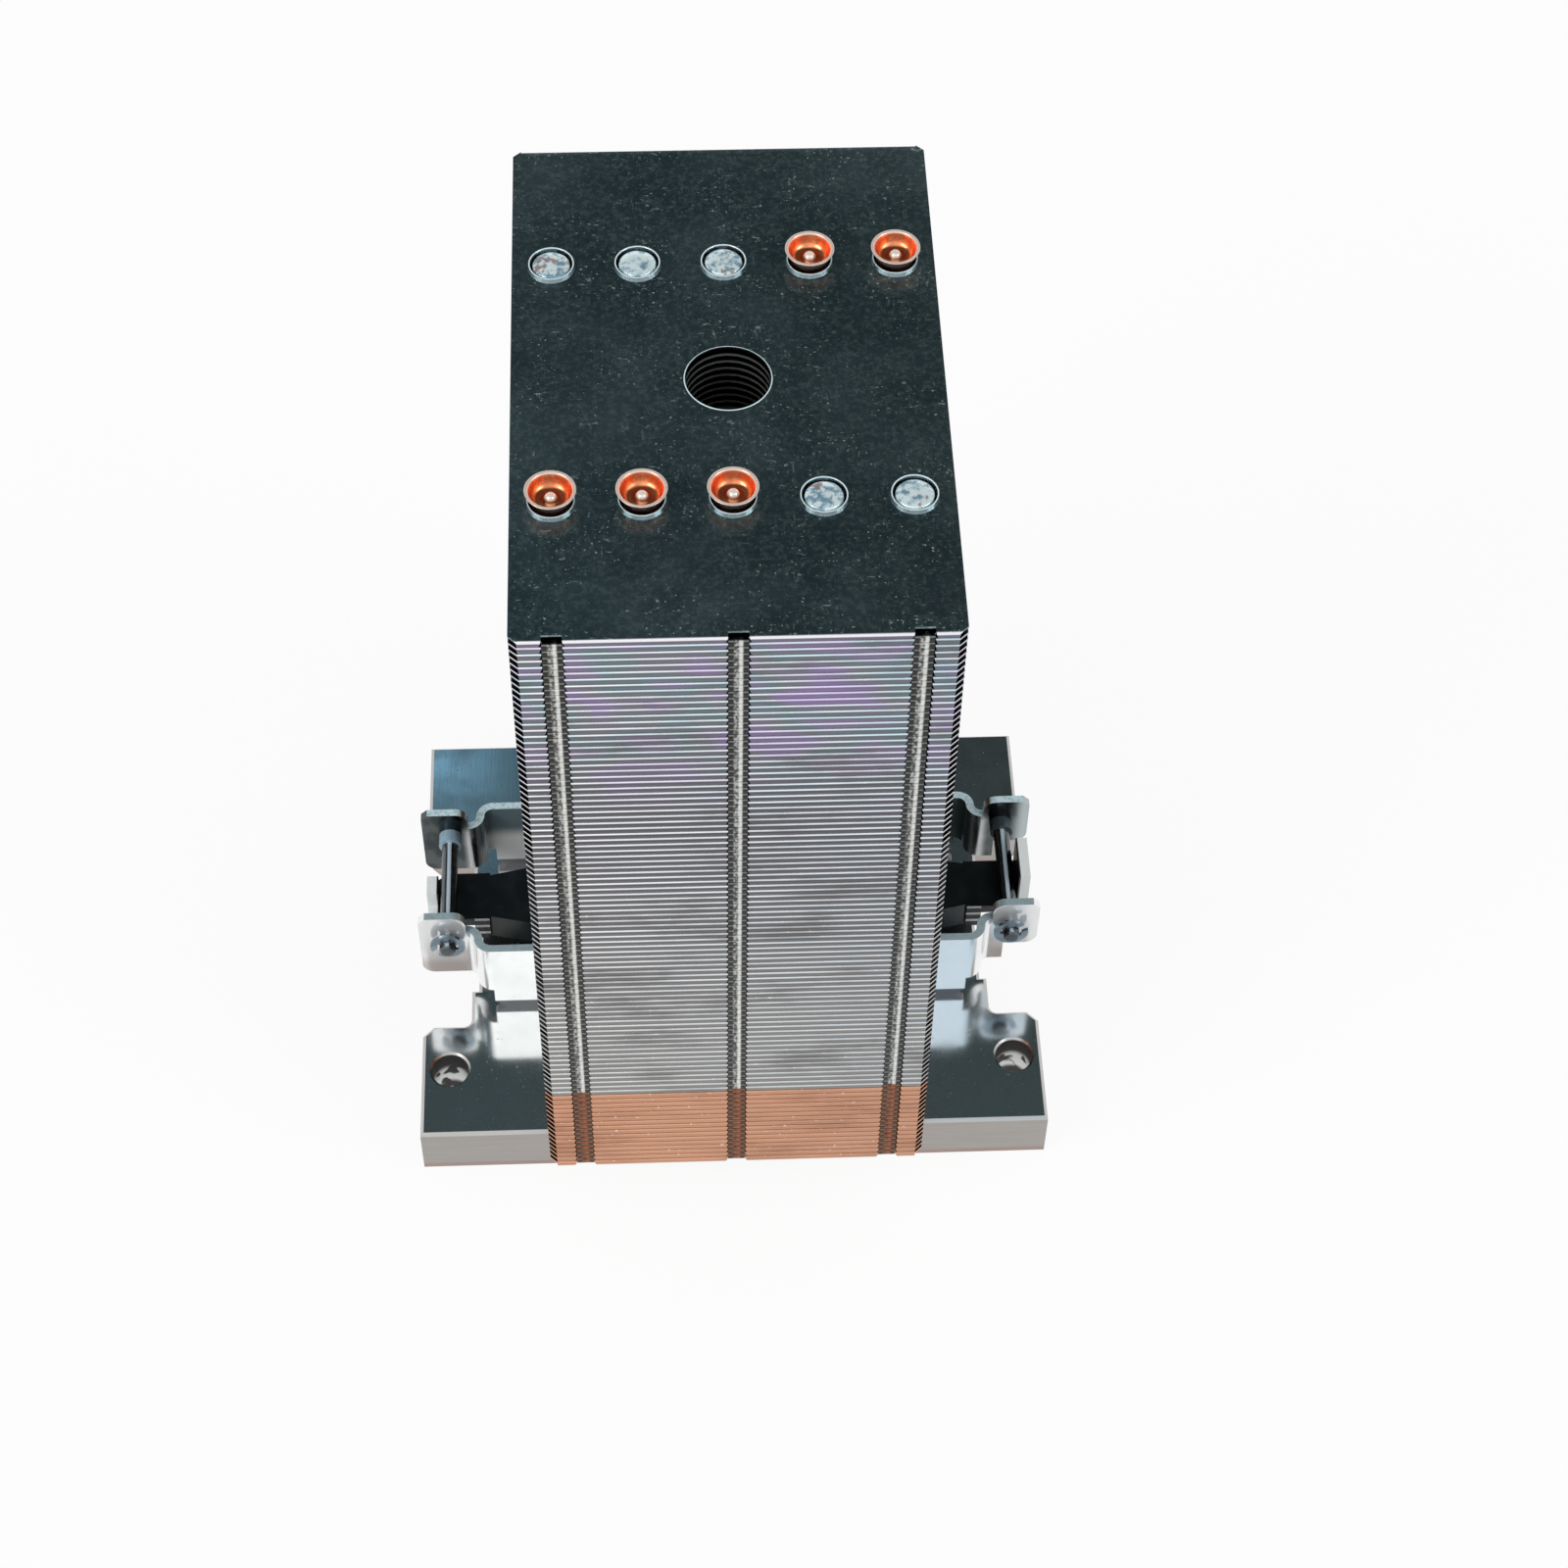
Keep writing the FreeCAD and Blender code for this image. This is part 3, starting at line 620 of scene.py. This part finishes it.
def ring_finish():
    material, surface, place = start("ring_plating")
    drawn = noise(place, 0.3, (1, 1, 3), 3.0)
    # Painted highlight on the up-facing tops of the rings.
    top_edge = band(facing(place, 2), 0.3, 0.7)
    skin = blend(band(drawn, 0.4, 0.65, 0.0, 0.5), (0.62, 0.72, 0.76), (0.30, 0.37, 0.40))
    skin = blend(top_edge, skin, (0.72, 0.88, 0.92))
    feed(surface, {"Base Color": skin, "Metallic": band(top_edge, 0.0, 1.0, 1.0, 0.1),
                   "Roughness": band(drawn, 0.3, 0.7, 0.14, 0.26), "Normal": bump(drawn, 0.06, 0.01)})
    return material


cap_plating = cap_finish()
ring_plating = ring_finish()
print("made", cap_plating.name, "and", ring_plating.name)

# %% [markdown]
# ## Small steel
# Clips, washer, ring, nut and screw are plain steel in two greys. The cross
# pins are darker drawn rod. Along the top of each pin runs a painted
# highlight. The rear shoulder has a pale blue painted highlight on the left
# pin and painted shade on the right.

# %% Clip, screw and pin steel
def steel_finish(name, colour, roughness):
    material, surface, place = start(name)
    fine = noise(place, 0.22, (1, 14, 1), 3.0)
    wear_and_glint = noise(place, 3.0, (1, 1, 1), 3.0)
    skin = blend(band(wear_and_glint, 0.4, 0.75), colour, tuple(c * 1.5 + 0.01 for c in colour))
    feed(surface, {"Base Color": skin, "Metallic": 1.0, "Normal": bump(fine, 0.10, 0.01),
                   "Roughness": band(fine, 0.3, 0.7, roughness, roughness * 1.5)})
    return material


def pin_finish():
    material, surface, place = start("pin_steel")
    fine = noise(place, 0.2, (1, 16, 1), 3.0)
    shoulder = band(axis(place, 1), 8.4, 8.6)
    # Painted highlight along the top of the pin.
    top_highlight = band(facing(place, 2), 0.955, 0.985) * (1.0 - shoulder)
    skin = blend(band(fine, 0.35, 0.7), (0.10, 0.11, 0.12), (0.17, 0.18, 0.19))
    skin = blend(top_highlight, skin, (0.66, 0.80, 0.90))
    # Rear shoulder: painted pale blue highlight on the left pin, painted shade on the right.
    skin = blend(shoulder, skin, blend(right_half(place), (0.42, 0.58, 0.70), (0.06, 0.08, 0.09)))
    feed(surface, {"Base Color": skin, "Metallic": 1.0 - (top_highlight + shoulder).at_most(1.0) * 0.8,
                   "Roughness": band(fine, 0.3, 0.7, 0.18, 0.28), "Normal": bump(fine, 0.06, 0.01)})
    return material


clip_steel = steel_finish("clip_steel", (0.22, 0.27, 0.31), 0.26)
screw_steel = steel_finish("screw_steel", (0.24, 0.24, 0.26), 0.24)
pin_steel = pin_finish()
print("made", clip_steel.name, screw_steel.name, "and", pin_steel.name)

# %% [markdown]
# ## Black leaf springs
# The leaves are blackened, so they are no mirrors but a dark satin coat. Two
# spots are bare and pale: the stamped tips at the ends of the leaves, and the
# tops of the hooks. On a tip the pale is also a painted highlight: the height
# counted in leaf thicknesses tells how high a point lies within its own leaf,
# and only the upper part of a tip is painted pale.

# %% Spring finish
LEAF_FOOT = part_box("leaf_spring_3")[0].z / MM
LEAF_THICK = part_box("leaf_spring_3")[1].z / MM - LEAF_FOOT


def spring_finish():
    material, surface, place = start("spring_black")
    fine = noise(place, 0.22, (14, 1, 1), 3.0)
    wear_and_glint = noise(place, 3.0, (1, 1, 1), 3.0)
    out, across = abs(axis(place, 0)), abs(axis(place, 1))
    layer = layer_phase(place, LEAF_FOOT, LEAF_THICK)
    # Stamped tips: bare steel, painted pale only on the upper part of each leaf as a painted highlight.
    tips = inside(out, 44.7, 47.4, 0.1) * band(across, 5.05, 5.15) * band(layer, 0.62, 0.72)
    outward = facing(place, 0) * band(axis(place, 0), -1.0, 1.0, -1.0, 1.0)
    hook_top = band(out, 54.3, 54.5) * band(facing(place, 2), -0.5, -0.2) * band(outward, 0.5, 0.8, 1.0, 0.0)
    bare_and_glint = (tips + hook_top).at_most(1.0)
    black = blend(band(wear_and_glint, 0.4, 0.75), (0.006, 0.008, 0.009), (0.015, 0.019, 0.021))
    feed(surface, {"Base Color": blend(bare_and_glint, black, (0.95, 1.0, 1.0)),
                   "Metallic": band(bare_and_glint, 0.0, 1.0, 0.2, 0.0),
                   "Roughness": band(fine, 0.3, 0.7, 0.28, 0.40), "Coat Weight": 0.12, "Coat Roughness": 0.25,
                   "Normal": bump(fine, 0.10, 0.01)})
    return material


spring_black = spring_finish()
print("made", spring_black.name, "on leaves of mm", round(LEAF_THICK, 2))

# %% [markdown]
# ## Mesh helpers
# Two ways of making a form cover this object. A folded sheet is a section
# pushed along X, and everything round is a profile turned about an upright
# axis. Both return points and faces, so many can be gathered into one mesh.

# %% Pushed sections and turned profiles
def pushed(section, x0, x1, taper=(0.0, 0.0)):
    """A closed (y, z) section in millimetres, pushed from x0 to x1.

    The taper draws each end in by that much at the section's foot.
    """
    n = len(section)
    foot, head = min(z for y, z in section), max(z for y, z in section)
    points = [(x + inward * (head - z) / (head - foot), y, z)
              for x, inward in ((x0, taper[0]), (x1, -taper[1])) for y, z in section]
    faces = [[i, (i + 1) % n, n + (i + 1) % n, n + i] for i in range(n)]
    return points, faces + [list(range(n))[::-1], list(range(n, 2 * n))]


def turned(profile, centre, steps, closed=False):
    """A profile of (radius, height) turned about an upright axis through centre."""
    x, y, z = centre
    angles = [math.pi / 4 + 2 * math.pi * k / steps for k in range(steps)]
    points = [(x + radius * math.cos(a), y + radius * math.sin(a), z + height)
              for radius, height in profile for a in angles]
    rings = len(profile)
    faces = []
    for r in range(rings if closed else rings - 1):
        a, b = r * steps, ((r + 1) % rings) * steps
        faces += [[a + k, a + (k + 1) % steps, b + (k + 1) % steps, b + k] for k in range(steps)]
    return points, faces


def gather(shapes):
    """Many (points, faces) pairs as one."""
    points, faces = [], []
    for new_points, new_faces in shapes:
        base = len(points)
        points += new_points
        faces += [[base + i for i in face] for face in new_faces]
    return points, faces


print("mesh helpers ready")

# %% [markdown]
# ## From points to a piece
# Each piece rides on a body of the imported model, carries its finish in a
# material slot, and may replace a plain solid. All the pieces made here belong
# to the sink, which carries everything that doesn't move. Smooth shading with
# sharp edges kept by angle gives soft bends and crisp corners.

# %% Pieces and stacks
def piece(name, shape, material, slot, body="sink", replaces=(), angle=35):
    """A mesh from points in millimetres, dressed, riding on its body."""
    points, faces = shape
    mesh = bpy.data.meshes.new(name)
    mesh.from_pydata([tuple(v * MM for v in p) for p in points], [], faces)
    mesh.validate()
    mesh.materials.append(material)
    made = bpy.data.objects.new(name, mesh)
    bpy.context.scene.collection.objects.link(made)
    work = bmesh.new()
    work.from_mesh(mesh)
    bmesh.ops.remove_doubles(work, verts=work.verts, dist=1e-7)
    bmesh.ops.recalc_face_normals(work, faces=work.faces)
    work.to_mesh(mesh)
    work.free()
    mesh.polygons.foreach_set("use_smooth", [True] * len(mesh.polygons))
    mesh.set_sharp_from_angle(angle=math.radians(angle))
    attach(made, body)
    if replaces:
        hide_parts(*replaces)
    print(name, len(mesh.polygons), "faces")
    return made


def array_up(made, count):
    """Repeat a fin upwards at the fin pitch."""
    many = made.modifiers.new("stack", "ARRAY")
    many.count = count
    many.use_relative_offset = False
    many.use_constant_offset = True
    many.constant_offset_displace = (0.0, 0.0, PITCH * MM)


print("piece helpers ready")

# %% [markdown]
# ## Section of a fold
# Each fin is a sheet 0.4 mm thick. Its front and rear edges are folded down
# and stand on the fin below. The fold's section has a small true bend radius,
# because that radius draws the bright line along every fin. The fold leans
# in a little at its foot, so the bend of the next fin stands out below it.

# %% Section of a fold
SHEET = 0.4
BEND = 0.5
LEAN = 0.3
FOOT_GAP = 0.02


def quarter(steps):
    """Angles of a quarter turn."""
    return [math.pi / 2 * k / steps for k in range(steps + 1)]


def fold_section(face, top, lean, end, bend=BEND):
    """Section of one fold, from the sheet at end out to the face and down."""
    outer = [(face + bend - bend * math.sin(a), top - bend + bend * math.cos(a)) for a in quarter(4)]
    hollow = bend - SHEET
    inner = [(face + bend - hollow * math.sin(a), top - bend + hollow * math.cos(a)) for a in quarter(2)]
    low = top - PITCH + FOOT_GAP
    section = [(end, top)] + outer + [(face + lean, low), (face + lean + SHEET, low)]
    return section + inner[::-1] + [(end, top - SHEET)]


def mirror_y(section):
    return [(-y, z) for y, z in section][::-1]


print("fold section of", len(fold_section(-FACE_Y, 0.0, LEAN, 1.0 - FACE_Y)), "points")

# %% [markdown]
# ## The flat sheet and its holes
# A face with holes can't be one polygon. Each hole is wrapped in a square
# patch of quads instead, and the rest of the sheet is filled with strips
# between the patches. That keeps the mesh light and free of thin slivers.

# %% Sheet with round holes
def holed_sheet(y0, y1, top, holes, steps=24):
    """A sheet under height top, with holes of (x, y, radius, half its patch)."""
    low = top - SHEET
    xs = sorted({-HALF_X, HALF_X} | {x + s * m for x, y, r, m in holes for s in (-1, 1)})
    ys = sorted({y0, y1} | {y + s * m for x, y, r, m in holes for s in (-1, 1)})
    strips = [(xa, xb, ya, yb) for xa, xb in zip(xs, xs[1:]) for ya, yb in zip(ys, ys[1:])
              if not any(abs((xa + xb) / 2 - x) < m and abs((ya + yb) / 2 - y) < m for x, y, r, m in holes)]
    shapes = [([(xa, ya, z), (xb, ya, z), (xb, yb, z), (xa, yb, z)], [[0, 1, 2, 3][::flip]])
              for z, flip in ((top, 1), (low, -1)) for xa, xb, ya, yb in strips]
    quads = [[k, (k + 1) % steps, steps + (k + 1) % steps, steps + k] for k in range(steps)]
    angles = [-3 * math.pi / 4 + 2 * math.pi * k / steps for k in range(steps)]
    for x, y, r, m in holes:
        circle = [(x + r * math.cos(a), y + r * math.sin(a)) for a in angles]
        reach = [m / max(abs(math.cos(a)), abs(math.sin(a))) for a in angles]
        square = [(x + d * math.cos(a), y + d * math.sin(a)) for a, d in zip(angles, reach)]
        shapes += [([(px, py, z) for px, py in square + circle], quads) for z in (top, low)]
        shapes.append(([(px, py, z) for z in (low, top) for px, py in circle], quads))
    rim = [(-HALF_X, y0), (HALF_X, y0), (HALF_X, y1), (-HALF_X, y1)]
    shapes.append(([(px, py, z) for z in (low, top) for px, py in rim],
                   [[k, (k + 1) % 4, 4 + (k + 1) % 4, 4 + k] for k in range(4)]))
    return gather(shapes)


print("sheet helper ready")

# %% [markdown]
# ## A row of folds
# On the front and the rear edge the fold is cut away at three grooves, where
# a narrow tongue hooks into the next fin, and it stops short of the sides. So
# an edge is four folds, three tongues between them and a cut corner at each
# end. Beside a groove the end of a fold tapers in towards its foot.

# %% Folds, tongues and corners along one edge
EDGE_GAP = 1.3
FOLD_TAPER = 0.40
TONGUE_HALF = 1.50
TONGUE_BACK = 0.55
TONGUE_BEND = 0.42
EDGE_Y = FACE_Y - EDGE_GAP


def fold_row(top, side, with_tongues=True, grooves=GROOVES):
    """All folds on the front (-1) or rear (1) edge of one fin."""
    fold = fold_section(-FACE_Y, top, LEAN, -EDGE_Y)
    fold = mirror_y(fold) if side > 0 else fold
    cuts = [x + s * GROOVE_HALF for x in grooves for s in (-1, 1)]
    stops = [EDGE_GAP - HALF_X] + cuts + [HALF_X - EDGE_GAP]
    last = len(stops) - 2
    shapes = []
    for i in range(0, len(stops), 2):
        taper = (FOLD_TAPER if i > 0 else 0.0, FOLD_TAPER if i < last else 0.0)
        shapes.append(pushed(fold, stops[i], stops[i + 1], taper))
    if with_tongues:
        tongue = fold_section(TONGUE_BACK - FACE_Y, top, LEAN * 0.7, -EDGE_Y, TONGUE_BEND)
        tongue = mirror_y(tongue) if side > 0 else tongue
        shapes += [pushed(tongue, x - TONGUE_HALF, x + TONGUE_HALF) for x in grooves]
    for turn in (-1, 1):
        corner = [(turn * HALF_X, side * EDGE_Y), (turn * (HALF_X - EDGE_GAP), side * EDGE_Y),
                  (turn * (HALF_X - EDGE_GAP), side * (FACE_Y - 0.1))]
        shapes.append(([(x, y, z) for z in (top - SHEET, top) for x, y in corner],
                       [[0, 1, 2], [3, 4, 5], [0, 1, 4, 3], [1, 2, 5, 4], [2, 0, 3, 5]]))
    return shapes


print("edge of the flat sheet at mm", round(EDGE_Y, 2))

# %% [markdown]
# ## Aluminium fins
# One fin is a flat sheet with the driver's hole and a row of folds on each
# long edge. All 83 are alike, so one is built and an array repeats it.

# %% Build one fin, then repeat it
HOLE_PATCH = 9.0
first_top = STACK_FOOT + PITCH
fin_shapes = [holed_sheet(-EDGE_Y, EDGE_Y, first_top, [(0.0, 0.0, HOLE_RADIUS, HOLE_PATCH)])]
fin_shapes += fold_row(first_top, -1) + fold_row(first_top, 1)
aluminium_fin = piece("aluminium_fin_stack", gather(fin_shapes), aluminium_sheet, "aluminium_fin",
                      replaces=["aluminium_fins"])
array_up(aluminium_fin, FIN_COUNT)

# %% [markdown]
# ## Copper fins
# The lowest sixteen fins are copper and stop at the tunnel for the cage, so
# there is a short fin in front and one behind. The inner edge has a plain
# fold, without grooves, that faces the springs.

# %% Front and rear copper fins
TUNNEL_LEAN = 0.05
copper_top = COPPER_FOOT + PITCH
for side, name in ((-1, "front"), (1, "rear")):
    wall = fold_section(TUNNEL_Y, copper_top, TUNNEL_LEAN, TUNNEL_Y + EDGE_GAP)
    wall = mirror_y(wall) if side < 0 else wall
    y0, y1 = sorted((side * EDGE_Y, side * (TUNNEL_Y + EDGE_GAP)))
    shapes = [holed_sheet(y0, y1, copper_top, [])] + fold_row(copper_top, side)
    shapes.append(pushed(wall, EDGE_GAP - HALF_X, HALF_X - EDGE_GAP))
    copper_fin = piece("copper_fin_stack_" + name, gather(shapes), copper_sheet, "copper_fin",
                       replaces=["copper_fins_" + name])
    array_up(copper_fin, COPPER_COUNT)

# %% [markdown]
# ## Collars
# Where a pipe goes through a fin, the sheet is drawn up into a short collar
# that grips the tube. Seen from the side, the collars stack into a ribbed
# column. One turned profile is enough for all of them, and the array repeats
# the ten collars of one fin up the stack.

# %% Collars between the fins
COLLAR_UP = 0.95
pipe_xs = [(i - 2) * PIPE_PITCH for i in range(5)]
sites = [(x, s * PIPE_ROW) for x in pipe_xs for s in (-1, 1)]
collar = [(PIPE_RADIUS + 0.05, 0.0), (PIPE_RADIUS + 0.05, COLLAR_UP), (PIPE_RADIUS + 0.4, COLLAR_UP),
          (PIPE_RADIUS + 0.55, 0.0)]
for metal, top, count, sheet in (("aluminium", first_top, FIN_COUNT - 1, aluminium_sheet),
                                 ("copper", copper_top, COPPER_COUNT, copper_sheet)):
    collars = gather([turned(collar, (x, y, top), 16, closed=True) for x, y in sites])
    array_up(piece(metal + "_collars", collars, sheet, metal + "_fin"), count)

# %% [markdown]
# ## Top fin
# The top fin has the same folds, but its front grooves hold no tongues and
# its rear edge is one plain fold. Its face is on show: a punched hole for the
# driver with a slightly rolled rim, and ten collars that stand up as rings
# round the pipe ends.

# %% Top fin with its rings
RING_IN, RING_OUT, RING_UP = 3.42, 3.68, 0.8
RING_FOOT = RING_OUT + 0.1
RING_PATCH = 5.2
RIM_OUT = HOLE_RADIUS + 0.2
holes = [(0.0, 0.0, RIM_OUT, HOLE_PATCH)] + [(x, y, RING_FOOT, RING_PATCH) for x, y in sites]
top_shapes = [holed_sheet(-EDGE_Y, EDGE_Y, STACK_TOP, holes, 40)]
top_shapes += fold_row(STACK_TOP, -1, with_tongues=False)
top_shapes += fold_row(STACK_TOP, 1, with_tongues=False, grooves=())
piece("top_fin_sheet", gather(top_shapes), top_sheet, "top_fin", replaces=["top_fin"])
ring = [(RING_FOOT, 0.0), (RING_OUT + 0.02, 0.12), (RING_OUT, RING_UP - 0.10), (RING_OUT - 0.06, RING_UP),
        (RING_IN + 0.06, RING_UP), (RING_IN, RING_UP - 0.08), (RING_IN, -SHEET), (RING_FOOT, -SHEET)]
rings = gather([turned(ring, (x, y, STACK_TOP), 40, closed=True) for x, y in sites])
piece("top_fin_collars", rings, ring_plating, "top_fin")
rolled = [(RIM_OUT, 0.0), (HOLE_RADIUS + 0.12, 0.07), (HOLE_RADIUS + 0.03, 0.05), (HOLE_RADIUS, -0.05),
          (HOLE_RADIUS, -SHEET), (RIM_OUT, -SHEET)]
piece("driver_hole_rim", turned(rolled, (0.0, 0.0, STACK_TOP), 64, closed=True), ring_plating, "top_fin")

# %% [markdown]
# ## Heat pipes
# A heat pipe is a sealed copper tube bent into a U: level under the fins,
# upright through them. The path is two upright legs, two quarter turns and
# the level run between them, and a ring of points is laid square to it at
# every step. A curve with a bevel would do as well. Rings of points keep the
# pipe in the same form, points and faces, as every other piece here.

# %% Tube path
TUBE_LEVEL, TUBE_BEND, TUBE_STEPS = 4.6, 12.0, 24


def tube(x):
    """One U-shaped tube as a ring swept along its path."""
    run, centre_z = PIPE_ROW - TUBE_BEND, TUBE_LEVEL + TUBE_BEND
    path = [(-PIPE_ROW, STACK_TOP - 0.2, 0.0)]
    path += [(-run - TUBE_BEND * math.cos(a), centre_z - TUBE_BEND * math.sin(a), a) for a in quarter(10)]
    path += [(run + TUBE_BEND * math.sin(a), centre_z - TUBE_BEND * math.cos(a), math.pi / 2 + a)
             for a in quarter(10)]
    path.append((PIPE_ROW, STACK_TOP - 0.2, math.pi))
    points = []
    for y, z, turn in path:
        for k in range(TUBE_STEPS):
            angle = 2 * math.pi * k / TUBE_STEPS
            out = PIPE_RADIUS * math.cos(angle)
            wide = PIPE_RADIUS * math.sin(angle)
            points.append((x + wide, y - out * math.cos(turn), z - out * math.sin(turn)))
    n = TUBE_STEPS
    faces = [[r * n + k, r * n + (k + 1) % n, (r + 1) * n + (k + 1) % n, (r + 1) * n + k]
             for r in range(len(path) - 1) for k in range(n)]
    return points, faces


print("tube of", len(tube(0.0)[1]), "faces")

# %% [markdown]
# ## Pipe ends
# One end of each pipe is closed by a low dome. The other is where it was
# filled: the tube flares into a little cup, with the pinched and welded
# filling tip standing in the middle. Both are turned, so each is one profile
# of radius and height, read from the tube's wall to the middle.

# %% Cups, domes and the five pipes
cup = [(PIPE_RADIUS, -0.3), (PIPE_RADIUS, 0.75), (3.12, 1.2), (3.42, 2.0), (3.72, 2.65),
       (3.88, 2.9), (3.93, 3.02), (3.86, 3.1), (3.60, 3.1), (3.44, 3.03), (3.34, 2.8),
       (3.22, 2.2), (2.96, 1.5), (2.62, 0.98), (2.2, 0.72), (1.8, 0.7), (1.35, 0.9),
       (1.0, 1.3), (0.75, 1.75), (0.45, 2.02), (0.001, 2.1)]
dome = [(PIPE_RADIUS, -0.3), (PIPE_RADIUS, 0.22), (2.94, 0.38), (2.78, 0.52), (2.4, 0.68),
        (1.8, 0.82), (1.0, 0.93), (0.001, 0.97)]
for number, x in enumerate(pipe_xs, start=1):
    fill_side = -1 if number <= 3 else 1
    piece("heat_pipe_tube_%d" % number, tube(x), pipe_copper, "pipe_copper",
          replaces=["heat_pipe_%d" % number])
    fill_end = turned(cup, (x, fill_side * PIPE_ROW, STACK_TOP), 40)
    piece("pipe_fill_end_%d" % number, fill_end, pipe_copper, "pipe_copper", angle=60)
    closed_end = turned(dome, (x, -fill_side * PIPE_ROW, STACK_TOP), 40)
    piece("pipe_closed_end_%d" % number, closed_end, cap_plating, "pipe_copper", angle=60)

# %% [markdown]
# ## Finishes on the solids that stay
# The base, the cage, the springs and the screw already have their true form
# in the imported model. They only get a finish in their material slot.

# %% Dress the solids
dressed = {
    "base_plate": base_plating, "contact_block": contact_plating,
    "front_bracket": cage_plating, "rear_bracket": cage_plating,
    "left_pin": pin_steel, "right_pin": pin_steel,
    "left_pin_clip": clip_steel, "right_pin_clip": clip_steel,
    "leaf_spring_1": spring_black, "leaf_spring_2": spring_black, "leaf_spring_3": spring_black,
    "load_nut": screw_steel, "pack_washer": clip_steel, "snap_ring": clip_steel, "load_screw": screw_steel,
}
for name, material in dressed.items():
    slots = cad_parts[name].data.materials
    slots.clear()
    slots.append(material)
print("dressed", len(dressed), "solids")

# %% [markdown]
# ## Floor
# Bright metal shows its surroundings more than its own colour, so the floor
# and the room matter. The floor is a matt white that comes up in every
# upright face. What the camera and the mirrors see of it is mostly a plain
# white, so it stays white all over and keeps only a soft shadow.

# %% Floor
FLOOR_HALF = 4.0
FLOOR_LEVEL = -0.0002
PLAIN_SHARE = 0.90


def seen_plainly(place):
    """1 for rays from the camera, a mirror or glass, 0 for light on matt surfaces."""
    kinds = ("Is Camera Ray", "Is Glossy Ray", "Is Transmission Ray")
    return sum(place.add("ShaderNodeLightPath", {}, {}, kind) for kind in kinds).at_most(1.0)


def white_floor():
    material, surface, place = start("floor_white")
    tree = material.node_tree
    feed(surface, {"Base Color": (0.90, 0.90, 0.90), "Roughness": 0.9, "Specular IOR Level": 0.1})
    plain = place.add("ShaderNodeEmission", {}, {"Color": (1.0, 1.0, 1.0), "Strength": 1.0})
    parts = {0: seen_plainly(place) * PLAIN_SHARE, 1: Sock(surface.outputs[0]), 2: plain}
    mixed = place.add("ShaderNodeMixShader", {}, parts)
    tree.links.new(mixed.out, tree.nodes["Material Output"].inputs["Surface"])
    return material


corners = [(x * FLOOR_HALF, y * FLOOR_HALF, FLOOR_LEVEL) for x, y in ((-1, -1), (1, -1), (1, 1), (-1, 1))]
floor_mesh = bpy.data.meshes.new("studio_floor")
floor_mesh.from_pydata(corners, [], [[0, 1, 2, 3]])
floor_mesh.materials.append(white_floor())
floor = bpy.data.objects.new("studio_floor", floor_mesh)
bpy.context.scene.collection.objects.link(floor)
print("floor of m", 2 * FLOOR_HALF)

# %% [markdown]
# ## Room
# Matt surfaces get a plain white light from all sides. Mirrors see more: a
# room that is white near the floor, pale on the viewer's side, and dark
# overhead and at the back, which the flat faces show. The walls of the cage
# mirror the plate, and through it the pale side, cooler to the right. High at
# the back and to the left a narrow strip of blue light stands for a window.

# %% Room
world = bpy.data.worlds.new("studio_room")
bpy.context.scene.world = world
world.use_nodes = True
backdrop = world.node_tree.nodes["Background"]
room = Sock(backdrop.outputs[0]).add("ShaderNodeTexCoord", {}, {}, "Generated")
across, depth, height = (axis(room, number) for number in range(3))
back = ramp(height, [(0.0, (1.0, 1.0, 1.0)), (0.30, (0.95, 0.95, 0.95)),
                     (0.52, (0.13, 0.155, 0.16)), (0.78, (0.021, 0.029, 0.031)),
                     (0.87, (0.050, 0.070, 0.073)), (1.0, (0.045, 0.063, 0.067))])
window = inside(height, 0.785, 0.797, 0.013) * band(across, -0.078, -0.034, 1.0, 0.0)
back = blend(window, back, (0.29, 0.61, 0.85))
front = blend(band(across, -0.04, 0.08), (0.96, 0.96, 0.93), (0.72, 0.86, 0.97))
front = blend(band(height, 0.30, 0.60), (1.0, 1.0, 1.0), front)
sky = blend(band(depth, -0.45, -0.15, 1.0, 0.0), back, front)
seen = seen_plainly(room)
feed(backdrop, {"Color": blend(seen, (1.0, 1.0, 1.0), sky), "Strength": 0.6 + seen * 0.4})
print("room of", len(world.node_tree.nodes), "nodes")

# %% [markdown]
# ## Lamps
# Three wide lamps give the shapes their soft side light and the floor its
# shadow. An area lamp is used because its width sets how soft the shadow is,
# and its strength is in watts.

# %% Lamps
def soft_lamp(name, where, aim, width, watts):
    light = bpy.data.lights.new(name, "AREA")
    light.shape = "RECTANGLE"
    light.size = width
    light.size_y = width * 0.6
    light.energy = watts
    lamp = bpy.data.objects.new(name, light)
    bpy.context.scene.collection.objects.link(lamp)
    turn = (Vector(aim) - Vector(where)).to_track_quat("-Z", "Y")
    lamp.matrix_world = Matrix.Translation(where) @ turn.to_matrix().to_4x4()
    print(name, watts, "W")


soft_lamp("lamp_left", (-0.95, -0.55, 0.85), (0, 0, 0.05), 0.7, 6.0)
soft_lamp("lamp_right", (0.95, -0.45, 0.75), (0, 0, 0.05), 0.6, 4.0)
soft_lamp("lamp_front", (-0.42, -0.78, 1.02), (0, 0, 0.03), 0.85, 0.48)
